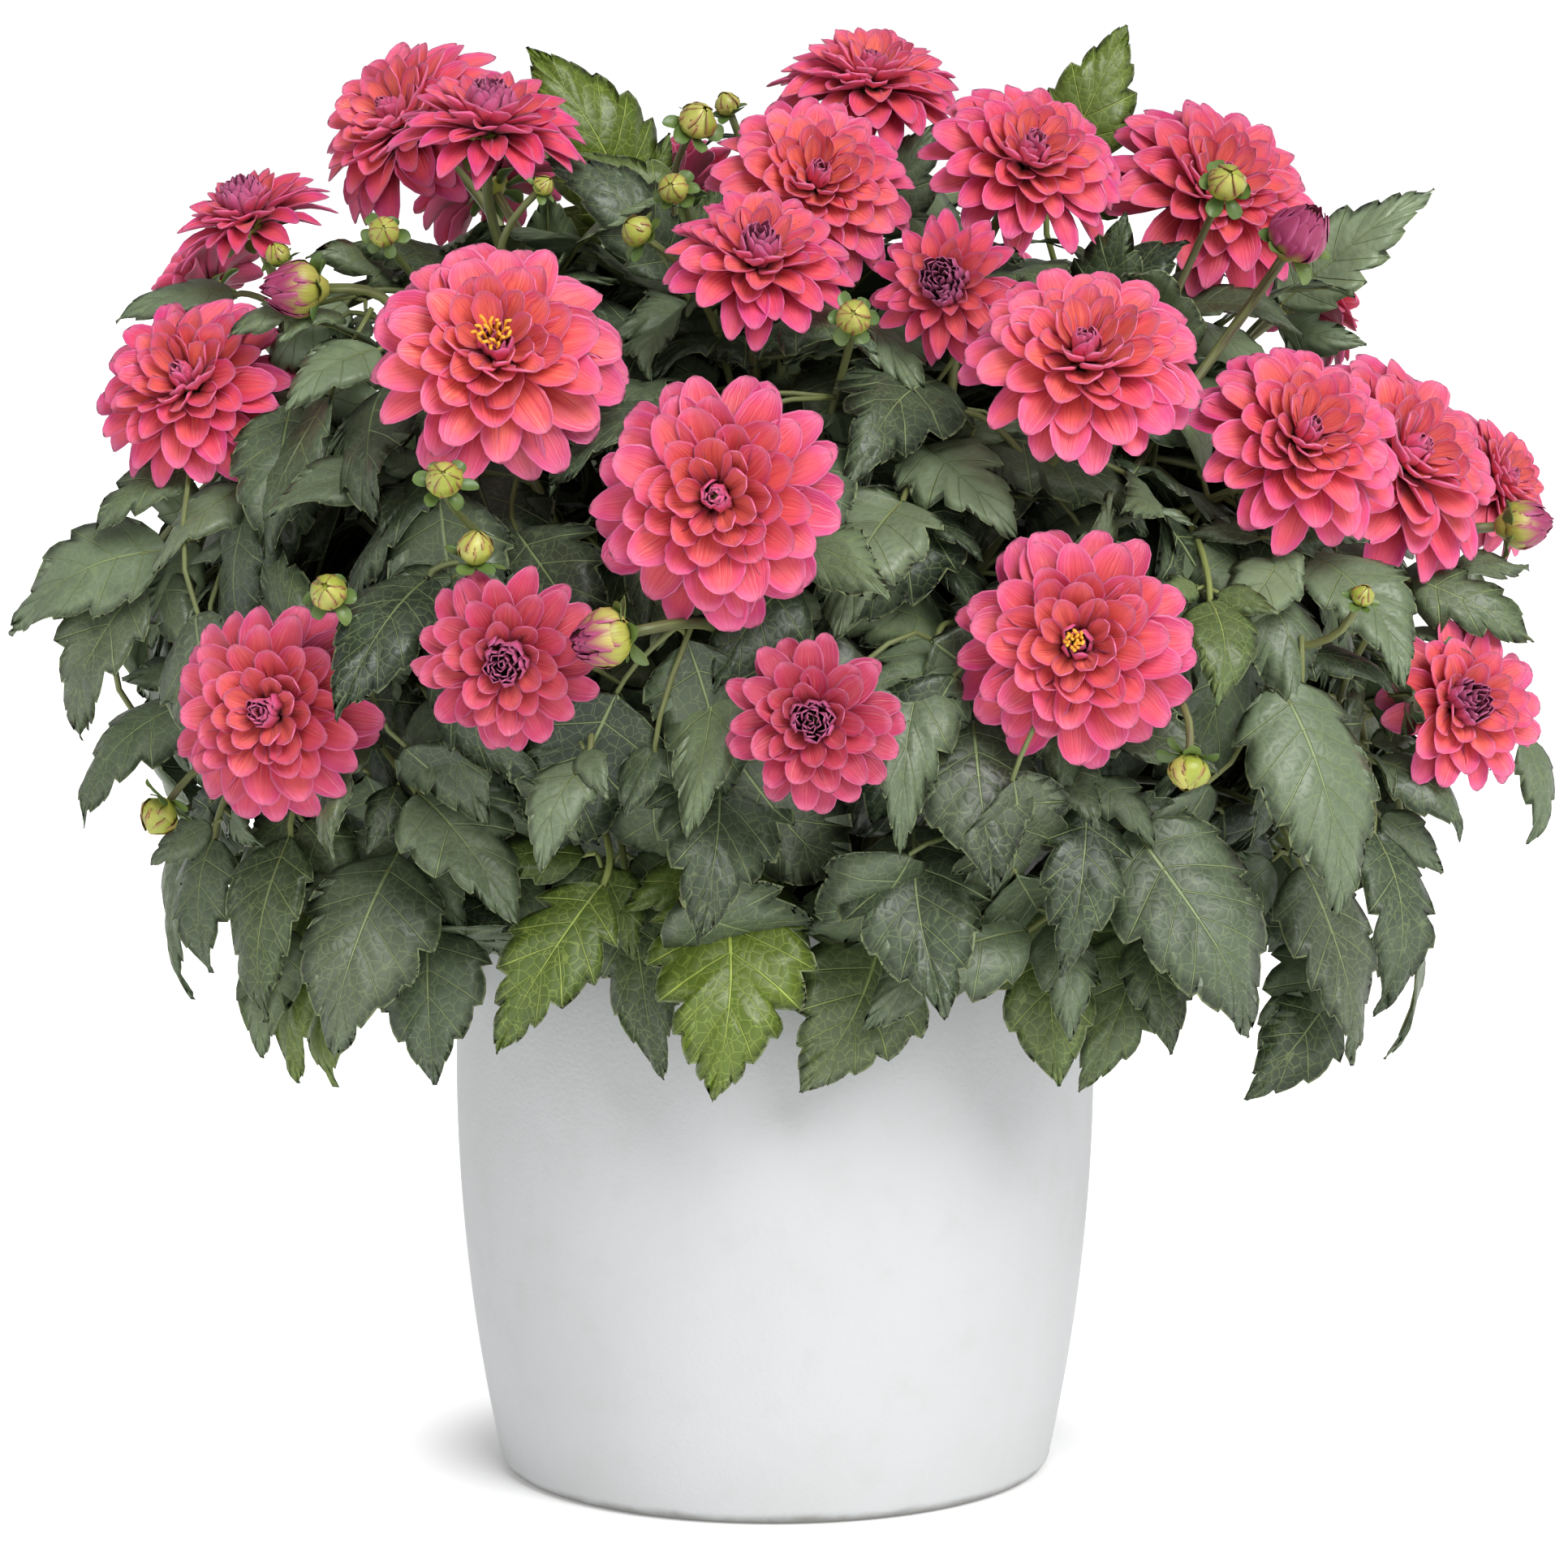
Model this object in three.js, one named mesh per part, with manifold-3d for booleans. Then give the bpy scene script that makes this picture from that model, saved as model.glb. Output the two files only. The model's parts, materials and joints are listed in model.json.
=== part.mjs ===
// A potted dahlia: a round white pot, its potting soil, leafy stems, double blooms and opening buds.
// Millimetres, +Z up, origin at the middle of the pot's underside, the front towards -Y.
import * as THREE from "three";
import { mergeVertices } from "three/addons/utils/BufferGeometryUtils.js";
import Module from "manifold-3d";

const wasm = await Module();
wasm.setup();

// Pot and soil
const POT_HEIGHT = 285;
const POT_WIDEST_Z = 190;
const POT_RADIUS = 150;
const POT_FOOT_RADIUS = 129;
const POT_RIM_RADIUS = 144;
const POT_WALL = 9;
const POT_FLOOR = 12;
const POT_CORNER = 8;
const POT_LIP = 3;
const POT_LEVELS = [0.18, 0.42, 0.68];
const POT_SIDES = 30;
const DRAIN_HOLE = { count: 3, radius: 7, circle: 62, sides: 6 };
const SOIL_TOP = 258;
const SOIL_CROWN = 8;
const SOIL_CROWN_RADIUS = 60;
const SEAT_GAP = 0.3;

// Stems
const STEM_RADIUS = 4.2;
const STEM_SIDES = 5;
const STEM_DEPTH = 60;
const STEM_COLLAR = 16;
const STEM_STEPS = 4;
const STEM_RISE = 30;
const STEM_BEND = [0.45, 0.5];
const HOLE_RADIUS = 5.6;
const HOLE_SIDES = 5;
const STALK_RADIUS = 2.6;
const STALK_STEPS = 3;
const STALK_NECK = 9;
const STALK_SPACING = 0.2;
const STALK_BEND = 0.3;
const STALK_RISE = 0.12;
const BUD_STALK_RADIUS = 1.9;
const STALK_SIDES = 3;
const SHOOT_START = 3;
const SHOOT_END = [215, 322];
const SHOOT_RISE = 22;

// The outer surface of the foliage as radius and height, from the crown down to the skirt over the pot
const CANOPY = [
  [0, 590],
  [120, 582],
  [210, 548],
  [275, 490],
  [308, 430],
  [312, 370],
  [292, 312],
  [252, 262],
  [204, 232],
];
const CANOPY_DEPTH = 0.9;
const CROWN_SHARE = 0.16;
const FILL_LEAVES = 88;
const FILL_LENGTH = [90, 120];
const FILL_SMALLER = 0.86;
const FILL_WIDTH = 0.66;
const SEED = 20;
const GOLDEN_ANGLE = Math.PI * (3 - Math.sqrt(5));

// How freely a fill leaf turns, rises off the canopy, sinks into it and rolls about its midrib
const FILL_AZIMUTH = 0.25;
const FILL_YAW = { first: 1, growth: 0.12 };
const FILL_LIFT = { crown: 0.4, skirt: -0.05, spread: 0.4 };
const FILL_SUNK = { least: 4, spread: 12 };
const FILL_ROLL = 0.6;
const FILL_ARCH = 0.6;

// Leaves: the bend of the blade, the petiole, and the places along the stems that one may grow from
const LEAF_ARCH = 0.5;
const LEAF_DROOP = 0.07;
const LEAF_CLEARANCE = 0.5;
const LEAF_TRIES = 9;
const LEAF_STEP = 7;
const PETIOLE_RADIUS = 1.7;
const PETIOLE_DROOP = 0.6;
const PETIOLE_LEAST = 14;
const PETIOLE_REACH = 170;
const PETIOLE_BEND = 0.4;
const PETIOLE_FROM_ABOVE = 0.25;
const ROOT_STEP = 12;
const ROOT_CHOICES = 30;
const ROOT_BELOW_BASE = { along: 28, under: 22 };
const ROOT_LOWEST = SOIL_TOP + 28;

// Each row of the blade: share of the length, shares of the width to the left and right, rib height
const LEAF_ROWS = [
  [0.1, 0.2, 0.17, 2.6],
  [0.3, 0.5, 0.43, 1.3],
  [0.49, 0.36, 0.47, 1.2],
  [0.67, 0.34, 0.24, 1.1],
];

// Leaves set by hand: base, tip, the way the upper face looks (azimuth, elevation), width over length
const PLACED_LEAVES = [
  [[-276, -60, 438], [-353, -42, 398], [-22, 32], 0.6],
  [[-270, -50, 415], [-320, -60, 360], [-60, 20], 0.5],
  [[-265, -60, 370], [-320, -70, 315], [-40, 35], 0.55],
  [[-255, -100, 325], [-268, -105, 238], [-60, 10], 0.45],
  [[-215, -150, 318], [-225, -170, 238], [-30, 20], 0.6],
  [[-165, -165, 312], [-195, -195, 228], [-15, 25], 0.62],
  [[-190, -138, 275], [-200, -146, 205], [-40, 0], 0.5],
  [[-152, -160, 280], [-150, -180, 212], [-10, 10], 0.75],
  [[-155, -190, 342], [-110, -218, 288], [0, 40], 0.65],
  [[-75, -190, 302], [-122, -212, 233], [-10, 20], 0.52],
  [[-150, -180, 382], [-125, -215, 333], [-20, 30], 0.8],
  [[-150, -200, 437], [-186, -250, 383], [-15, 35], 0.58],
  [[-165, -130, 477], [-226, -142, 463], [-10, 50], 0.55],
  [[-240, -75, 468], [-282, -90, 432], [-30, 40], 0.6],
  [[-25, -200, 365], [-32, -255, 288], [0, 25], 0.68],
  [[-22, -190, 302], [-26, -228, 214], [0, 20], 0.76],
  [[-65, -170, 302], [-52, -188, 215], [-20, 0], 0.48],
  [[48, -172, 282], [12, -193, 211], [5, 15], 0.8],
  [[110, -190, 282], [38, -218, 243], [5, 35], 0.55],
  [[60, -198, 328], [74, -240, 252], [5, 25], 0.8],
  [[70, -200, 410], [54, -258, 328], [5, 30], 0.52],
  [[85, -215, 378], [95, -252, 310], [10, 30], 0.76],
  [[122, -165, 275], [125, -184, 212], [5, 15], 0.72],
  [[-80, -238, 362], [-100, -258, 318], [-15, 25], 0.55],
  [[-32, -215, 384], [-65, -238, 338], [-10, 40], 0.65],
  [[55, -190, 470], [26, -240, 416], [0, 40], 0.75],
  [[8, -218, 428], [-25, -240, 384], [-5, 40], 0.7],
  [[155, -190, 328], [210, -208, 240], [15, 25], 0.64],
  [[220, -168, 388], [250, -192, 290], [25, 30], 0.58],
  [[235, -130, 302], [260, -142, 214], [30, 20], 0.58],
  [[250, -105, 262], [215, -130, 208], [20, 20], 0.62],
  [[135, -200, 338], [125, -225, 268], [10, 25], 0.54],
  [[162, -158, 275], [135, -176, 208], [10, 15], 0.58],
  [[290, -55, 275], [284, -60, 202], [75, 5], 0.42],
  [[272, -85, 345], [314, -92, 312], [30, 45], 0.6],
  [[345, -35, 350], [352, -40, 300], [50, 10], 0.5],
  [[226, -140, 398], [274, -150, 384], [15, 55], 0.6],
  [[290, -65, 425], [350, -40, 440], [20, 60], 0.6],
  [[222, -145, 440], [194, -180, 408], [5, 40], 0.62],
  [[190, -175, 425], [191, -210, 384], [10, 35], 0.65],
  [[236, -122, 440], [277, -168, 388], [20, 40], 0.62],
  [[130, -196, 362], [190, -215, 350], [10, 50], 0.55],
  [[120, -145, 452], [182, -170, 463], [10, 60], 0.58],
  [[62, -145, 478], [102, -190, 443], [10, 40], 0.72],
  [[-68, 60, 580], [-116, 50, 666], [0, 20], 0.6],
  [[-40, 28, 560], [-94, 18, 618], [-10, 40], 0.62],
  [[-45, -55, 560], [-104, -50, 618], [-20, 50], 0.52],
  [[-20, -95, 530], [-70, -112, 562], [-10, 50], 0.6],
  [[132, 60, 605], [165, 60, 677], [0, 30], 0.62],
  [[240, 60, 545], [312, 60, 600], [10, 40], 0.5],
  [[188, -30, 548], [242, -42, 538], [10, 55], 0.5],
  [[-178, -84, 530], [-218, -112, 506], [-10, 40], 0.66],
  [[-218, -76, 505], [-220, -108, 432], [-10, 30], 0.6],
  [[-250, -6, 552], [-305, -10, 540], [-20, 50], 0.5],
  [[80, -150, 500], [40, -168, 492], [0, 50], 0.6],
  [[-250, -128, 314], [-254, -142, 256], [-40, 20], 0.6],
  [[-206, -140, 284], [-213, -154, 208], [-35, 10], 0.5],
  [[272, -92, 312], [278, -112, 232], [40, 15], 0.5],
  [[-284, -52, 420], [-318, -56, 350], [-45, 20], 0.6],
  [[150, -40, 540], [186, -58, 578], [10, 45], 0.72],
  [[50, 2, 588], [76, -6, 640], [10, 45], 0.7],
  [[-195, -40, 545], [-230, -54, 512], [-15, 45], 0.72],
];

// Main stems: azimuth from the front towards +X in degrees, radius where it leaves the soil,
// and the radius and height of the fork that its flower stalks leave from.
const STEMS = [
  { name: "stem_01", azimuth: -4, foot: 88, fork: [150, 385], shoot: true },
  { name: "stem_02", azimuth: -28, foot: 88, fork: [165, 405], shoot: true },
  { name: "stem_03", azimuth: -52, foot: 88, fork: [185, 350], shoot: true },
  { name: "stem_04", azimuth: -79, foot: 88, fork: [175, 430], shoot: true },
  { name: "stem_05", azimuth: -108, foot: 88, fork: [185, 390], shoot: true },
  { name: "stem_06", azimuth: -135, foot: 88, fork: [180, 370], shoot: true },
  { name: "stem_07", azimuth: -160, foot: 88, fork: [140, 420], shoot: true },
  { name: "stem_08", azimuth: 166, foot: 88, fork: [160, 390], shoot: true },
  { name: "stem_09", azimuth: 134, foot: 88, fork: [175, 400], shoot: true },
  { name: "stem_10", azimuth: 101, foot: 88, fork: [190, 430], shoot: true },
  { name: "stem_11", azimuth: 76, foot: 88, fork: [205, 375], shoot: true },
  { name: "stem_12", azimuth: 54, foot: 88, fork: [170, 430], shoot: true },
  { name: "stem_13", azimuth: 27, foot: 88, fork: [150, 400], shoot: true },
  { name: "stem_14", azimuth: -5, foot: 42, fork: [45, 440] },
  { name: "stem_15", azimuth: -100, foot: 42, fork: [80, 470] },
  { name: "stem_16", azimuth: 85, foot: 42, fork: [60, 480] },
];

// Blooms: middle, radius, the way the face looks (azimuth, elevation), and how far it has opened
const BLOOMS = [
  { name: "bloom_01", stem: 4, at: [-266, -60, 513], radius: 45, faces: [-22, 30], open: 1 },
  { name: "bloom_02", stem: 4, at: [-242, -14, 588], radius: 36, faces: [-40, 62], open: 0.5 },
  { name: "bloom_03", stem: 15, at: [-174, 24, 631], radius: 42, faces: [-55, 36], open: 1 },
  { name: "bloom_04", stem: 15, at: [-129, -60, 630], radius: 40, faces: [10, 66], open: 0.6 },
  { name: "bloom_05", stem: 2, at: [-120, -190, 533], radius: 55, faces: [0, 38], open: 1 },
  { name: "bloom_06", stem: 1, at: [-24, -270, 476], radius: 52, faces: [-3, 6], open: 1 },
  { name: "bloom_07", stem: 3, at: [-217, -200, 379], radius: 45, faces: [-15, 6], open: 0.9 },
  { name: "bloom_08", stem: 2, at: [-112, -265, 408], radius: 39, faces: [-3, 0], open: 0.6 },
  { name: "bloom_09", stem: 1, at: [16, -275, 383], radius: 38, faces: [0, 8], open: 0.6 },
  { name: "bloom_10", stem: 13, at: [128, -240, 412], radius: 50, faces: [-5, 10], open: 1 },
  { name: "bloom_11", stem: 11, at: [311, -80, 369], radius: 39, faces: [35, 18], open: 0.6 },
  { name: "bloom_12", stem: 14, at: [18, -70, 604], radius: 44, faces: [15, 42], open: 1 },
  { name: "bloom_13", stem: 14, at: [-7, -150, 572], radius: 40, faces: [5, 45], open: 0.7 },
  { name: "bloom_14", stem: 16, at: [44, 20, 650], radius: 43, faces: [10, 62], open: 1 },
  { name: "bloom_15", stem: 16, at: [114, -60, 614], radius: 44, faces: [20, 38], open: 0.9 },
  { name: "bloom_16", stem: 13, at: [75, -150, 560], radius: 33, faces: [-10, 15], open: 0.4 },
  { name: "bloom_17", stem: 13, at: [132, -214, 532], radius: 48, faces: [0, 40], open: 1 },
  { name: "bloom_18", stem: 10, at: [203, -6, 600], radius: 46, faces: [24, 42], open: 1 },
  { name: "bloom_19", stem: 12, at: [232, -140, 493], radius: 46, faces: [20, 30], open: 1 },
  { name: "bloom_20", stem: 11, at: [286, -58, 479], radius: 46, faces: [38, 28], open: 1 },
  { name: "bloom_21", stem: 10, at: [339, 22, 463], radius: 36, faces: [55, 25], open: 1 },
  { name: "bloom_22", stem: 9, at: [258, 120, 547], radius: 35, faces: [120, 30], open: 1 },
  { name: "bloom_23", stem: 5, at: [-276, 100, 553], radius: 33, faces: [-115, 35], open: 0.7 },
  { name: "bloom_24", stem: 15, at: [-139, 110, 604], radius: 37, faces: [-140, 45], open: 1 },
  { name: "bloom_25", stem: 7, at: [-49, 130, 596], radius: 38, faces: [-170, 45], open: 0.6 },
  { name: "bloom_26", stem: 6, at: [-215, 200, 420], radius: 44, faces: [-135, 15], open: 1 },
  { name: "bloom_27", stem: 7, at: [-95, 245, 500], radius: 47, faces: [-160, 25], open: 1 },
  { name: "bloom_28", stem: 8, at: [40, 265, 400], radius: 42, faces: [175, 10], open: 0.7 },
  { name: "bloom_29", stem: 8, at: [110, 215, 535], radius: 45, faces: [155, 35], open: 1 },
  { name: "bloom_30", stem: 9, at: [215, 205, 455], radius: 43, faces: [130, 20], open: 1 },
  { name: "bloom_31", stem: 5, at: [-290, 150, 400], radius: 38, faces: [-115, 10], open: 0.9 },
];

// Opening buds, whose coloured petals show
const OPENING_BUDS = [
  { name: "opening_bud_1", stem: 4, at: [-202, -80, 557], radius: 14, faces: [-75, 5] },
  { name: "opening_bud_2", stem: 1, at: [-60, -284, 418], radius: 13, faces: [-60, 12] },
  { name: "opening_bud_3", stem: 11, at: [333, -30, 446], radius: 12.5, faces: [85, 5] },
  { name: "opening_bud_4", stem: 12, at: [234, -72, 572], radius: 15, faces: [45, 45] },
];

// Closed green buds, which are one body with their stem
const GREEN_BUDS = [
  { stem: 15, at: [-174, -90, 581], radius: 7, faces: [0, 15] },
  { stem: 2, at: [-139, -240, 479], radius: 8, faces: [0, 25] },
  { stem: 2, at: [-126, -258, 447], radius: 8, faces: [20, 70] },
  { stem: 3, at: [-188, -226, 430], radius: 8, faces: [-10, 25] },
  { stem: 3, at: [-268, -140, 333], radius: 9, faces: [-60, -50] },
  { stem: 14, at: [-38, -60, 626], radius: 9, faces: [30, 40] },
  { stem: 14, at: [-44, -88, 600], radius: 7, faces: [-10, 15] },
  { stem: 14, at: [-56, -122, 580], radius: 7.5, faces: [-50, 30] },
  { stem: 1, at: [34, -200, 547], radius: 7.5, faces: [0, 15] },
  { stem: 12, at: [201, -76, 600], radius: 9, faces: [10, 30] },
  { stem: 13, at: [176, -246, 366], radius: 9, faces: [-10, -60] },
  { stem: 14, at: [-20, -14, 634], radius: 6, faces: [-40, 60] },
  { stem: 15, at: [-106, -96, 600], radius: 5, faces: [60, 40] },
  { stem: 12, at: [253, -186, 424], radius: 5.5, faces: [30, 50] },
  { stem: 4, at: [-224, -40, 566], radius: 6, faces: [-60, 60] },
  { stem: 6, at: [-150, 232, 480], radius: 8, faces: [-150, 30] },
  { stem: 8, at: [150, 246, 452], radius: 8, faces: [150, 20] },
  { stem: 7, at: [-10, 228, 560], radius: 7.5, faces: [175, 50] },
];

const materials = {
  pot: new THREE.MeshStandardMaterial({ color: 0xe4e6e5, roughness: 0.55, metalness: 0 }),
  soil: new THREE.MeshStandardMaterial({ color: 0x35271d, roughness: 1, metalness: 0 }),
  foliage: new THREE.MeshStandardMaterial({ color: 0x3c5a38, roughness: 0.5, metalness: 0 }),
  petals: new THREE.MeshStandardMaterial({ color: 0xe0435a, roughness: 0.6, metalness: 0 }),
  opening: new THREE.MeshStandardMaterial({ color: 0x9b3f63, roughness: 0.6, metalness: 0 }),
};

const degrees = Math.PI / 180;
const vector = (x, y, z) => new THREE.Vector3(x, y, z);
const mix = (a, b, share) => a + (b - a) * share;

// A point at a radius and height on an azimuth that runs from the front (-Y) towards +X.
function around(azimuth, radius, z) {
  return vector(radius * Math.sin(azimuth), -radius * Math.cos(azimuth), z);
}

// The unit vector that looks along an azimuth and elevation, both in degrees.
function looking([azimuth, elevation]) {
  const level = Math.cos(elevation * degrees);
  return around(azimuth * degrees, level, Math.sin(elevation * degrees));
}

// A seeded generator of numbers from 0 to 1.
function seeded(seed) {
  let state = (seed * 7919 + 12345) % 2147483647;
  return () => {
    state = (state * 48271) % 2147483647;
    return state / 2147483647;
  };
}

// Solids and meshes
function solidOf(geometry) {
  const bare = geometry.clone();
  bare.deleteAttribute("normal");
  bare.deleteAttribute("uv");
  const merged = mergeVertices(bare, 1e-4);
  return new wasm.Manifold(
    new wasm.Mesh({
      numProp: 3,
      vertProperties: new Float32Array(merged.attributes.position.array),
      triVerts: new Uint32Array(merged.index.array),
    }),
  );
}

function geometryOf(solid) {
  const mesh = solid.getMesh();
  const geometry = new THREE.BufferGeometry();
  geometry.setAttribute("position", new THREE.BufferAttribute(mesh.vertProperties, 3));
  geometry.setIndex(new THREE.BufferAttribute(mesh.triVerts, 1));
  geometry.computeVertexNormals();
  return geometry;
}

function geometryFrom(points, faces) {
  const geometry = new THREE.BufferGeometry().setFromPoints(points);
  geometry.setIndex(faces.flat());
  return geometry;
}

function lathe(profile, sides) {
  const points = profile.map(([r, z]) => new THREE.Vector2(r, z));
  return new THREE.LatheGeometry(points, sides).rotateX(Math.PI / 2);
}

// A closed prism along a row of points, with a section of equal sides across each.
function tube(path, radius, sides) {
  const points = [];
  const faces = [];
  const end = path.length - 1;
  const aim = (i) => path[Math.min(i + 1, end)].clone().sub(path[Math.max(i - 1, 0)]).normalize();
  const across = vector(1, 0, 0);
  if (Math.abs(aim(0).x) > 0.9) across.set(0, 1, 0);
  path.forEach((middle, i) => {
    const along = aim(i);
    across.addScaledVector(along, -across.dot(along)).normalize();
    const up = along.clone().cross(across);
    for (let j = 0; j < sides; j += 1) {
      const angle = (j * 2 * Math.PI) / sides;
      const spoke = across.clone().multiplyScalar(Math.cos(angle)).addScaledVector(up, Math.sin(angle));
      points.push(middle.clone().addScaledVector(spoke, radius));
    }
  });
  for (let i = 0; i < end; i += 1) {
    for (let j = 0; j < sides; j += 1) {
      const a = i * sides + j;
      const b = i * sides + ((j + 1) % sides);
      faces.push([a, b, a + sides], [b, b + sides, a + sides]);
    }
  }
  const last = points.length - sides;
  for (let j = 1; j + 1 < sides; j += 1) faces.push([0, j + 1, j], [last, last + j, last + j + 1]);
  return geometryFrom(points, faces);
}

// The pot's outer radius at a height: two parabolas that meet at the widest place.
function potRadius(z) {
  const below = (POT_WIDEST_Z - z) / POT_WIDEST_Z;
  const above = (z - POT_WIDEST_Z) / (POT_HEIGHT - POT_WIDEST_Z);
  return z < POT_WIDEST_Z
    ? POT_RADIUS - (POT_RADIUS - POT_FOOT_RADIUS) * below ** 2
    : POT_RADIUS - (POT_RADIUS - POT_RIM_RADIUS) * above ** 2;
}

function pot() {
  const profile = [
    [0, 0],
    [potRadius(0) - POT_CORNER, 0],
    [potRadius(POT_CORNER) - 1, POT_CORNER],
    ...POT_LEVELS.map((share) => share * POT_HEIGHT).map((z) => [potRadius(z), z]),
    [POT_RIM_RADIUS, POT_HEIGHT - POT_LIP],
    [POT_RIM_RADIUS - POT_LIP, POT_HEIGHT],
    [POT_RIM_RADIUS - POT_WALL, POT_HEIGHT],
    [potRadius(POT_WIDEST_Z) - POT_WALL, POT_WIDEST_Z],
    [potRadius(POT_FLOOR) - POT_WALL, POT_FLOOR],
    [0, POT_FLOOR],
  ];
  let solid = solidOf(lathe(profile, POT_SIDES));
  for (let i = 0; i < DRAIN_HOLE.count; i += 1) {
    const at = around((i * 2 * Math.PI) / DRAIN_HOLE.count, DRAIN_HOLE.circle, POT_FLOOR / 2);
    const drill = new THREE.CylinderGeometry(
      DRAIN_HOLE.radius,
      DRAIN_HOLE.radius,
      POT_FLOOR * 2,
      DRAIN_HOLE.sides,
    )
      .rotateX(Math.PI / 2)
      .translate(at.x, at.y, at.z);
    solid = solid.subtract(solidOf(drill));
  }
  return solid;
}

function soil() {
  const wall = POT_WALL + SEAT_GAP;
  const top = mix(POT_RIM_RADIUS, POT_RADIUS, (POT_HEIGHT - SOIL_TOP) / (POT_HEIGHT - POT_WIDEST_Z));
  const profile = [
    [0, POT_FLOOR + SEAT_GAP],
    [potRadius(POT_FLOOR) - wall, POT_FLOOR + SEAT_GAP],
    [potRadius(POT_WIDEST_Z) - wall, POT_WIDEST_Z],
    [top - wall, SOIL_TOP],
    [SOIL_CROWN_RADIUS, SOIL_TOP + SOIL_CROWN * 0.8],
    [0, SOIL_TOP + SOIL_CROWN],
  ];
  let solid = solidOf(lathe(profile, POT_SIDES));
  const reach = [SOIL_TOP - STEM_DEPTH - SEAT_GAP, POT_HEIGHT];
  for (const { azimuth, foot } of STEMS) {
    const axis = reach.map((z) => around(azimuth * degrees, foot, z));
    solid = solid.subtract(solidOf(tube(axis, HOLE_RADIUS, HOLE_SIDES)));
  }
  return solid;
}

// A double bloom as one closed surface: whorls of blunt petals, each whorl stepped up from the one below.
// The face looks along +Z and the flat seat for the stalk is at the back.
const WHORLS = [
  { radius: 1.0, z: -0.08, inner: 0.6, innerZ: -0.01 },
  { radius: 0.87, z: 0.15, inner: 0.42, innerZ: 0.13 },
  { radius: 0.63, z: 0.34, inner: 0.25, innerZ: 0.26 },
];
const BLOOM_BACK = 0.3;
const BLOOM_SEAT = 0.16;
const BLOOM_CLOSING = 0.16;
const LARGE_BLOOM = { radius: 42, petals: 8 };
const SMALL_BLOOM = { petals: 7 };
const PETAL_HALF_WIDTH = 0.42;
const PETAL_NOTCH = { reach: 0.74, rise: 0.035, closing: 0.7 };
const PETAL_FOOT_CLOSING = 0.4;
const HEART_RADIUS = [0.34, 0.2];
const HEART_HEIGHT = [0.36, 0.1];
const DOME = { open: 0.65, radius: 0.86, height: 0.2 };

function bloom(radius, open) {
  const { petals } = radius > LARGE_BLOOM.radius ? LARGE_BLOOM : SMALL_BLOOM;
  const points = [vector(0, 0, -BLOOM_BACK)];
  const faces = [];
  const ring = (count, place) => {
    const first = points.length;
    for (let i = 0; i < count; i += 1) points.push(place(i));
    return (i) => first + (((i % count) + count) % count);
  };
  const polar = (angle, r, z) => vector(r * Math.cos(angle), r * Math.sin(angle), z);
  const step = (2 * Math.PI) / petals;
  const heart = mix(...HEART_RADIUS, open);
  let inner = ring(petals, (i) => polar(i * step, BLOOM_SEAT, -BLOOM_BACK));
  for (let i = 0; i < petals; i += 1) faces.push([0, inner(i + 1), inner(i)]);
  WHORLS.forEach((whorl, k) => {
    const last = k === WHORLS.length - 1;
    const turn = k % 2 ? step / 2 : 0;
    const lift = (1 - open) * BLOOM_CLOSING * whorl.radius;
    const notch = whorl.radius * PETAL_NOTCH.reach;
    const notchZ = whorl.z + lift * PETAL_NOTCH.closing + PETAL_NOTCH.rise;
    const rim = ring(petals * 3, (j) => {
      const i = Math.floor(j / 3);
      const side = (j % 3) - 1.5;
      const angle = i * step + turn;
      return j % 3
        ? polar(angle + side * step * PETAL_HALF_WIDTH, whorl.radius, whorl.z + lift)
        : polar(angle - step / 2, notch, notchZ);
    });
    const r = last ? heart : whorl.inner;
    const footZ = whorl.innerZ + lift * PETAL_FOOT_CLOSING;
    const next = ring(petals, (i) => polar(i * step + turn, r, footZ));
    for (let i = 0; i < petals; i += 1) {
      const valley = rim(3 * i);
      const left = rim(3 * i + 1);
      const right = rim(3 * i + 2);
      const valleyAfter = rim(3 * i + 3);
      if (k === 0) {
        faces.push([inner(i), left, valley], [inner(i), right, left]);
        faces.push([inner(i), valleyAfter, right], [inner(i), inner(i + 1), valleyAfter]);
      } else {
        // The ring below sits at this whorl's valleys: k odd turns forward, k even turns back.
        const a = turn ? inner(i) : inner(i - 1);
        const b = turn ? inner(i + 1) : inner(i);
        faces.push([a, left, valley], [a, b, left], [b, right, left], [b, valleyAfter, right]);
      }
      faces.push([next(i), valley, left], [next(i), left, right]);
      faces.push([next(i), right, valleyAfter], [next(i), valleyAfter, next(i + 1)]);
    }
    inner = next;
  });
  const top = WHORLS[WHORLS.length - 1];
  if (open < DOME.open) {
    const dome = ring(petals, (i) => polar((i + 0.5) * step, heart * DOME.radius, top.z + DOME.height));
    for (let i = 0; i < petals; i += 1) {
      faces.push([inner(i), inner(i + 1), dome(i)], [inner(i + 1), dome(i + 1), dome(i)]);
    }
    inner = dome;
  }
  const tip = points.length;
  points.push(vector(0, 0, top.z + mix(...HEART_HEIGHT, open)));
  for (let i = 0; i < petals; i += 1) faces.push([inner(i), inner(i + 1), tip]);
  points.forEach((p) => p.multiplyScalar(radius));
  return geometryFrom(points, faces);
}

// A bud: a ring of bracts round a ball, as radius and height. It looks along +Z from its stalk.
const BUD_BACK = 0.1;
const BUD_SEAT = 0.32;
const GREEN_BUD_DEPTH = 0.3;
const GREEN_BUD = {
  sides: 5,
  bract: [1.5, 0.2],
  notch: [0.6, 0.15],
  ball: [[0.7, 0.45], [1, 1.25]],
  tip: 2.1,
};
const OPENING_BUD = {
  sides: 7,
  bract: [1.25, 0.1],
  notch: [0.6, 0.2],
  ball: [[0.7, 0.55], [1, 1.3], [0.8, 2.1]],
  tip: 2.75,
};

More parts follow.
